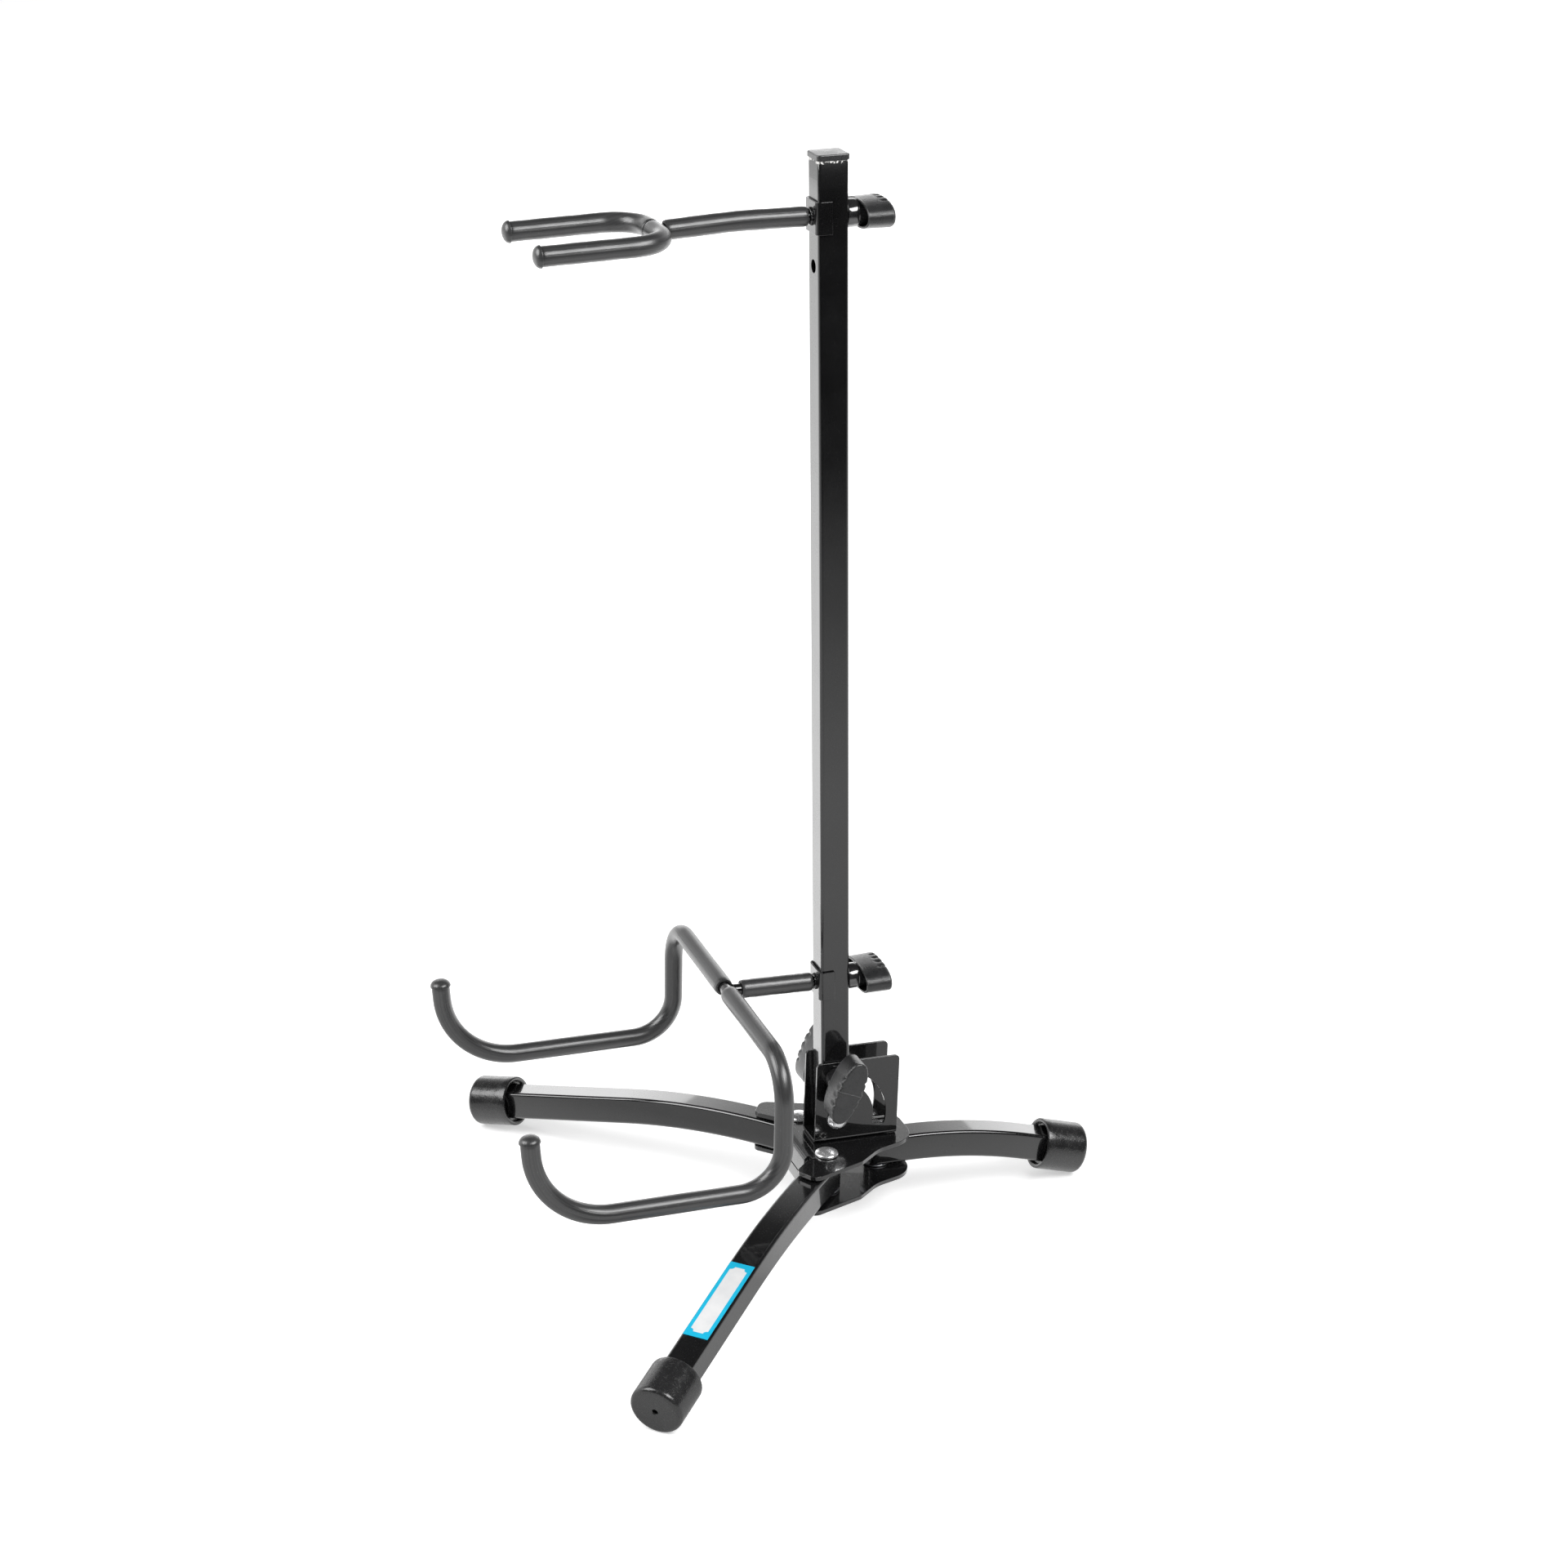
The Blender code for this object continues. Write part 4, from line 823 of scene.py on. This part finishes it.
def grained_grip(wire):
    """Grip plastic: spark grain, a mould line across the closed end, and a painted pale highlight round the
    rim of the closed end.
    """
    x, _, z = wire.axes("own")
    grain = wire.cells(1900, 0.5, "own").ramp(0, 0.8)
    tone = wire.noise(120, 4.0)
    wander = (wire.noise(300, 2.0) - 0.5) * 0.0004
    seam = 1 - wire.sum("ABSOLUTE", x + wander).ramp(0.00008, 0.0002)
    seam = seam * z.ramp(knob_length - 0.0012, knob_length - 0.0008)
    # Painted highlight: a pale band on the rounded rim of the closed end, broken up by noise.
    rim_highlight = z.ramp(knob_length - 0.0022, knob_length - 0.001)
    rim_highlight = rim_highlight * (1 - z.ramp(knob_length - 0.0006, knob_length - 0.0001))
    rim_highlight = rim_highlight * wire.noise(500, 4.0).ramp(0.4, 0.8)
    colour = wire.blend(tone, (0.018, 0.0184, 0.019), (0.029, 0.0294, 0.0302))
    colour = wire.blend(rim_highlight * 0.55 + seam * 0.8, colour, (0.19, 0.19, 0.19))
    rough = 0.22 + grain * 0.08 + tone * 0.05
    relief = wire.bump(grain + seam * 2.0, 0.00009)
    return wire.principled(IOR=1.62, Base_Color=colour, Roughness=rough, Normal=relief)


def polished_boss(wire):
    """Boss plastic: glossy black, with a faint haze and turning rings."""
    haze = wire.noise(240, 4.0)
    turning_rings = wire.noise(2400, 2.0, "own", stretch=(0.02, 0.02, 1), spread=(0, 1))
    colour = wire.blend(haze, (0.016, 0.016, 0.017), (0.028, 0.028, 0.029))
    return wire.principled(
        Base_Color=colour, Roughness=0.16 + haze * 0.12, Normal=wire.bump(turning_rings, 0.00002),
        Coat_Weight=1.0, Coat_Roughness=0.06, Coat_IOR=2.0,
    )


grip_plastic = material("grip_plastic", grained_grip)
boss_plastic = material("boss_plastic", polished_boss)
boss_end = knob_length - knob_wall - seat_gap
boss_line = [(0.0004, bore_length), (hole_radius, bore_length), (hole_radius, 0.0002), (0.0046, 0.0)]
boss_line += [(boss_radius - 0.0008, 0.0), (boss_radius - 0.0002, 0.0002), (boss_radius, 0.0008)]
boss_line += [(boss_radius, 0.0062), (boss_radius - 0.0004, 0.0066), (boss_radius - 0.0004, 0.007)]
boss_line += [(boss_radius, 0.0074), (boss_radius - 0.0001, boss_end), (0.0004, boss_end)]


def hand_knob(name, node, x_axis, z_axis, seat):
    """Grip and boss on an axis: x times the first direction plus z times the second, from the seat."""
    x_axis, z_axis = np.array(x_axis, float), np.array(z_axis, float)
    turn = np.stack([x_axis, np.cross(z_axis, x_axis), z_axis])
    place = lambda points: on_mast(points @ turn + seat)
    fit(grip(name + "_grip", place), node, "knob_plastic", grip_plastic, node)
    fit(turned(name + "_boss", boss_line, place, sides=72), node, "knob_plastic", boss_plastic, node)


both_sides = {"left": 1, "right": -1}
both_arms = {"yoke": yoke_height, "cradle": cradle_height}
for side, way in both_sides.items():
    long_way, seat = (0, -way * sin(clamp_turn), -way * cos(clamp_turn)), (way * clamp_seat, 0, stud_height)
    hand_knob("clamp_" + side, "clamp_knob_" + side, long_way, (way, 0, 0), seat)
for arm, z in both_arms.items():
    hand_knob(arm, arm + "_knob", (1, 0, 0), (0, 1, 0), (0, half_tube + seat_gap, z))


# Each arm starts at a clip, a U of 1.5 mm sheet that hugs the mast's front and stops the arm from turning.
# The arm's rod is welded into it, and a lumpy bead of weld shows around the rod.
clip_sheet, clip_high, clip_back = 0.0015, 0.0205, -0.0012
clip_inner = half_tube + seat_gap
clip_outer = clip_inner + clip_sheet
clip_line = closed_line(
    [(clip_outer, clip_back), (clip_inner, clip_back),
     (clip_inner, -clip_inner), (-clip_inner, -clip_inner),
     (-clip_inner, clip_back), (-clip_outer, clip_back),
     (-clip_outer, -clip_outer), (clip_outer, -clip_outer)],
    [0.0003, 0.0003, 0.0022, 0.0022, 0.0003, 0.0003, 0.0037, 0.0037],
    steps=8,
)
half_rim = [(0.0003, 0), (0.0001, 0.0001), (0, 0.0003)]
clip_rim = half_rim + [(inset, clip_high - z) for inset, z in reversed(half_rim)]


def outline_in(line, inset):
    """Closed outline drawn in by inset along its inward normal, found from its neighbours."""
    ahead, behind = np.roll(line, -1, 0) - line, line - np.roll(line, 1, 0)
    along = unit(unit(ahead) + unit(behind))
    return line + inset * np.stack([-along[:, 1], along[:, 0]], -1)


def weld_bead(name, z):
    """Ring round the arm's rod, at the clip: a torus whose thickness follows sin 7t cos 3t."""
    t = np.linspace(0, 2 * pi, 48, endpoint=False)
    q = np.linspace(2 * pi, 0, 12, endpoint=False)[:, None]
    lump = 0.0011 + 0.00035 * np.sin(7 * t + z * 90) * np.cos(3 * t)
    radius = 0.0047 + lump * np.cos(q)
    out = -clip_outer - 0.0004 + lump * np.sin(q)
    rings = np.stack([radius * np.cos(t), out, z + radius * np.sin(t)], -1)
    return skin(name, rings, on_mast, ends="joined")


for arm, z in both_arms.items():
    rings = [raised(outline_in(clip_line, inset), z - clip_high / 2 + up) for inset, up in clip_rim]
    clip = skin(arm + "_clip_sheet", rings, on_mast)
    clip.modifiers.new("flats", "WEIGHTED_NORMAL").keep_sharp = True
    fit(clip, "mast_assembly", "black_paint", plate_paint, arm + "_clip")
    fit(weld_bead(arm + "_weld", z), "mast_assembly", "black_paint", plate_paint)


# The yoke and the cradle are 8 mm steel rod, bent cold: a fork for the neck and two hooks for the body.
# Each is butted to its arm rod with a weld, and soft sleeves cover all but the joints.
rod_radius, stud_reach = 0.004, 0.0293
fork_height, fork_back, arm_end = 0.6205, 0.1128, 0.1085
hook_height, hook_side, hook_bottom = 0.1033, 0.1206, 0.0168


def even_line(line, start, end, count):
    """Points at even steps along a line; an end of nought or less is counted from the line's end."""
    at = np.concatenate([[0], np.cumsum(np.linalg.norm(np.diff(line, axis=0), axis=1))])
    s = np.linspace(start, at[-1] + end if end <= 0 else end, count)
    return np.stack([np.interp(s, at, line[:, k]) for k in range(3)], -1)


def rod_rings(line, radius, sides=36):
    """Circle carried along a line, square to it, with its spokes measured from a slanting reference."""
    along = unit(np.gradient(line, axis=0))
    across = unit(np.cross((1.0, 1.0, 1.0), along))
    over = np.cross(along, across)
    t = np.linspace(0, 2 * pi, sides, endpoint=False)[:, None]
    radius = np.broadcast_to(radius, len(line))[:, None, None]
    return line[:, None] + radius * (np.cos(t) * across[:, None] + np.sin(t) * over[:, None])


def mirrored_line(half_line, radii):
    """Bent line through the half's corners and their mirror images on the other side."""
    other = [(-x, y, z) for x, y, z in reversed(half_line)]
    return bend_line(other + half_line, radii[::-1] + radii, steps=24)


arm_middle = (0, -(clip_outer + arm_end) / 2, yoke_height + 0.00065)
yoke_arm = bend_line(
    [(0, stud_reach, yoke_height), (0, -clip_outer, yoke_height), arm_middle, (0, -arm_end, fork_height)],
    [0.0001, 0.4],
    steps=20,
)
fork = mirrored_line(
    [(0.0368, -fork_back, fork_height), (0.0368, -0.1962, fork_height - 0.0015)],
    [0.024],
)
cradle_arm = np.array([
    (0, stud_reach, cradle_height), (0, -clip_outer, cradle_height), (0, -0.0699, hook_height),
])
cradle = mirrored_line(
    [(hook_side, -0.0742, hook_height), (hook_side, -0.0766, hook_bottom),
     (hook_side, -0.24, 0.0212), (hook_side, -0.2434, 0.0829)],
    [0.0285, 0.029, 0.053],
)
rod_paint = material("rod_paint", gloss_paint)
for name, line, count in (("yoke_arm_rod", yoke_arm, 60), ("yoke_fork_rod", fork, 200),
                          ("cradle_arm_rod", cradle_arm, 40), ("cradle_rod", cradle, 320)):
    rod = skin(name + "_steel", rod_rings(even_line(line, 0, 0, count), rod_radius), on_mast)
    fit(rod, "mast_assembly", "black_paint", rod_paint, name)


# The sleeves are dark grey soft vinyl tube, cut to length and pushed over the rods.
# They keep fine draw lines along their length, and their thickness wanders a little.
# On the hooks and the fork they run from beside the middle joint to the rim of the tip cap.
sleeve_radius, sleeve_wall = 0.0063, 0.0018
cap_radius, cap_length, cap_stand = 0.00708, 0.012, 0.0021
cap_dome = cap_radius * 0.62


def soft_vinyl(wire):
    """Dark grey vinyl: lines drawn along the tube, cloudy tone, a soft sheen and scattered dust."""
    lines = wire.noise(1.0, 4.0, "UV", stretch=(46, 9, 1), spread=(0.3, 0.7))
    cloud = wire.noise(26, 4.0)
    skin_grain = wire.noise(1500, 3.0)
    dust = wire.noise(760, 3.0).ramp(0.8, 0.98)
    colour = wire.blend(cloud, (0.02, 0.0203, 0.0207), (0.029, 0.0293, 0.0298))
    colour = wire.blend(lines * 0.65, colour, (0.062, 0.0625, 0.0632))
    colour = wire.blend(dust * 0.25, colour, (0.2, 0.2, 0.19))
    rough = 0.25 + cloud * 0.06 + lines * 0.05
    relief = wire.bump(lines * 0.75 + skin_grain * 0.25, 0.00007)
    return wire.principled(IOR=1.8, Base_Color=colour, Roughness=rough, Normal=relief)


sleeve_vinyl = material("sleeve_vinyl", soft_vinyl)


def sleeve(name, line, start, end, count, node):
    """Hollow tube along part of a line: circles out along its outside and back inside.

    Its radius changes by less than 2% along the way, as the sum of two slow sines.
    """
    middle = even_line(line, start, end, count)
    s = np.linspace(0, 1, count)
    outer = sleeve_radius * (1 + 0.008 * np.sin(17 * s + 1.3) + 0.006 * np.sin(41 * s))
    outer[[0, -1]] -= 0.0005
    outer[[1, -2]] -= 0.0001
    inner = sleeve_radius - sleeve_wall
    rings = np.concatenate([rod_rings(middle, outer), rod_rings(middle, inner)[::-1]])
    fit(skin(name, rings, on_mast, ends="joined"), "mast_assembly", "sleeve_vinyl", sleeve_vinyl, node)


arm_start = stud_reach + clip_outer + 0.003
sleeve_stop = cap_stand + 0.0002 - cap_dome
sleeve("yoke_arm_sleeving", yoke_arm, arm_start, -0.0026, 70, "yoke_arm_sleeve")
sleeve("cradle_arm_sleeving", cradle_arm, arm_start, -0.0055, 50, "cradle_arm_sleeve")
for arm, line, starts, count in (("yoke", fork, {"left": -0.003, "right": 0.0044}, 110),
                                 ("cradle", cradle, {"left": 0.0056, "right": 0.0056}, 230)):
    middle = np.linalg.norm(np.diff(line, axis=0), axis=1).sum() / 2
    for side, flip in both_sides.items():
        half_line, start = line * np.array([flip, 1, 1]), middle + starts[side]
        sleeve(arm + "_sleeving_" + side, half_line, start, sleeve_stop, count, arm + "_sleeve_" + side)


# The tip caps are moulded vinyl domes with a thin flared rim, whose sockets are pushed over the rod ends.
# The sleeves run up to their rims.
socket, rod_fit = rod_radius + 0.0004, rod_radius + 0.0001
cap_floor, rim_at = cap_length - sleeve_wall, cap_length - cap_dome
tip_line = [(0.0002, cap_floor), (rod_fit, cap_floor), (rod_fit, 0.0), (socket, 0.0)]
tip_line += [(socket, rim_at - 0.0004), (cap_radius - 0.0011, rim_at - 0.0004)]
tip_line += [(cap_radius - 0.0001, rim_at - 0.0002), (cap_radius, rim_at + 0.0001)]
tip_line += [
    (cap_radius * 0.985 * cos(q) ** 0.9, rim_at + cap_dome * sin(q))
    for q in np.radians(np.linspace(6, 87, 14))
]


def on_tip(line):
    """Place of a cap on a line's end, its own Z along the last stretch."""
    along = unit(line[-1] - line[-2])
    first = unit(np.cross(along, (1.0, 0.0, 0.0)))
    turn = np.stack([first, np.cross(along, first), along])
    return lambda points: on_mast(points @ turn + line[-1] + along * (cap_stand - cap_length))


for arm, line in (("yoke", fork), ("cradle", cradle)):
    for side, flip in both_sides.items():
        tip = turned(arm + "_tip_" + side, tip_line, on_tip(line * np.array([flip, 1, 1])), sides=48)
        fit(tip, "mast_assembly", "sleeve_vinyl", sleeve_vinyl, arm + "_tip_cap_" + side)


# The studio: a plain pale floor that keeps a faint shadow, a pale sky and three soft lamps.
# Seen directly, the floor and the sky are white. In reflections the floor is grey on the camera's side,
# and the sky is dark but for a low white band behind the stand.
floor_reach, floor_height = 6.0, -0.0002
black, white = (0, 0, 0), (1, 1, 1)


def rays(wire):
    """1 where a ray comes straight from the camera, and 1 where it comes from a reflection."""
    return [wire.node("LightPath", output=kind) for kind in ("Is Camera Ray", "Is Glossy Ray")]


def pale_floor(wire):
    """White that takes a soft shadow, with a little glow of its own for the eye and for reflections."""
    seen, mirrored = rays(wire)
    across, over, _ = wire.axes()
    away = wire.node("VectorMath", {"operation": "LENGTH"}, {0: wire.place()}, "Value")
    this_side = (across + (1 - over.ramp(-0.5, 0.0)) * 0.6).ramp(-0.1, 0.12)
    near = 1 - this_side * (0.67 - away.ramp(0.2, 0.45) * 0.06) - across.ramp(0.75, 1.75) * 0.39
    shown = 1 - mirrored * (1 - near)
    paint = wire.node("BsdfDiffuse", (), {"Color": wire.blend(shown, black, (0.86, 0.86, 0.86))})
    lit = seen * (0.47 + away.ramp(0.5, 1.6) * 0.53) + mirrored * near * 0.9
    glow = wire.node("Emission", (), {"Color": wire.blend(lit, black, white), "Strength": 1.0})
    return wire.node("AddShader", (), {0: paint, 1: glow})


floor_mesh = bpy.data.meshes.new("floor")
floor_signs = [(-1, -1), (1, -1), (1, 1), (-1, 1)]
floor_corners = [(x * floor_reach, y * floor_reach, floor_height) for x, y in floor_signs]
floor_mesh.from_pydata(floor_corners, [], [(0, 1, 2, 3)])
floor_mesh.materials.append(material("pale_floor", pale_floor))
floor = bpy.data.objects.new("floor", floor_mesh)
bpy.context.scene.collection.objects.link(floor)

world = bpy.data.worlds.new("studio")
world.use_nodes = True
bpy.context.scene.world = world
wire = Wire(world.node_tree)
direct, mirrored = rays(wire)
across, _, up = wire.axes("Generated")
behind = (1 - across.ramp(-0.6, 0.05)) * (1 - up.ramp(0.36, 0.66))
strength = direct + (1 - direct) * (mirrored * (0.02 + behind * 0.98) + (1 - mirrored) * 0.35)
background = world.node_tree.nodes["Background"]
background.inputs["Strength"].default_value = 1.0
world.node_tree.links.new(wire.blend(strength, black, white).socket, background.inputs["Color"])


def soft_lamp(name, point, aim, power, wide, high):
    """Area lamp at a point, turned to its aim, so many metres wide and high."""
    lamp = bpy.data.objects.new(name, bpy.data.lights.new(name, "AREA"))
    lamp.data.shape, lamp.data.energy = "RECTANGLE", power
    lamp.data.size, lamp.data.size_y = wide, high
    back = unit(np.array(point) - aim)
    lamp.matrix_world = standing(point, unit(np.cross((0, 0, 1), back)), back)
    bpy.context.scene.collection.objects.link(lamp)


soft_lamp("lamp_back", (-4.6, 1.7, 1.00), (0, 0, 0.1), 36, 5.0, 1.4)
soft_lamp("lamp_main", (-0.2, -1.95, 1.85), (0, 0, 0.3), 44, 1.6, 1.6)
soft_lamp("lamp_front", (1.4, 0.92, 1.95), (0, 0, 0.3), 46, 1.9, 0.95)
bpy.context.scene.view_settings.view_transform = "Standard"
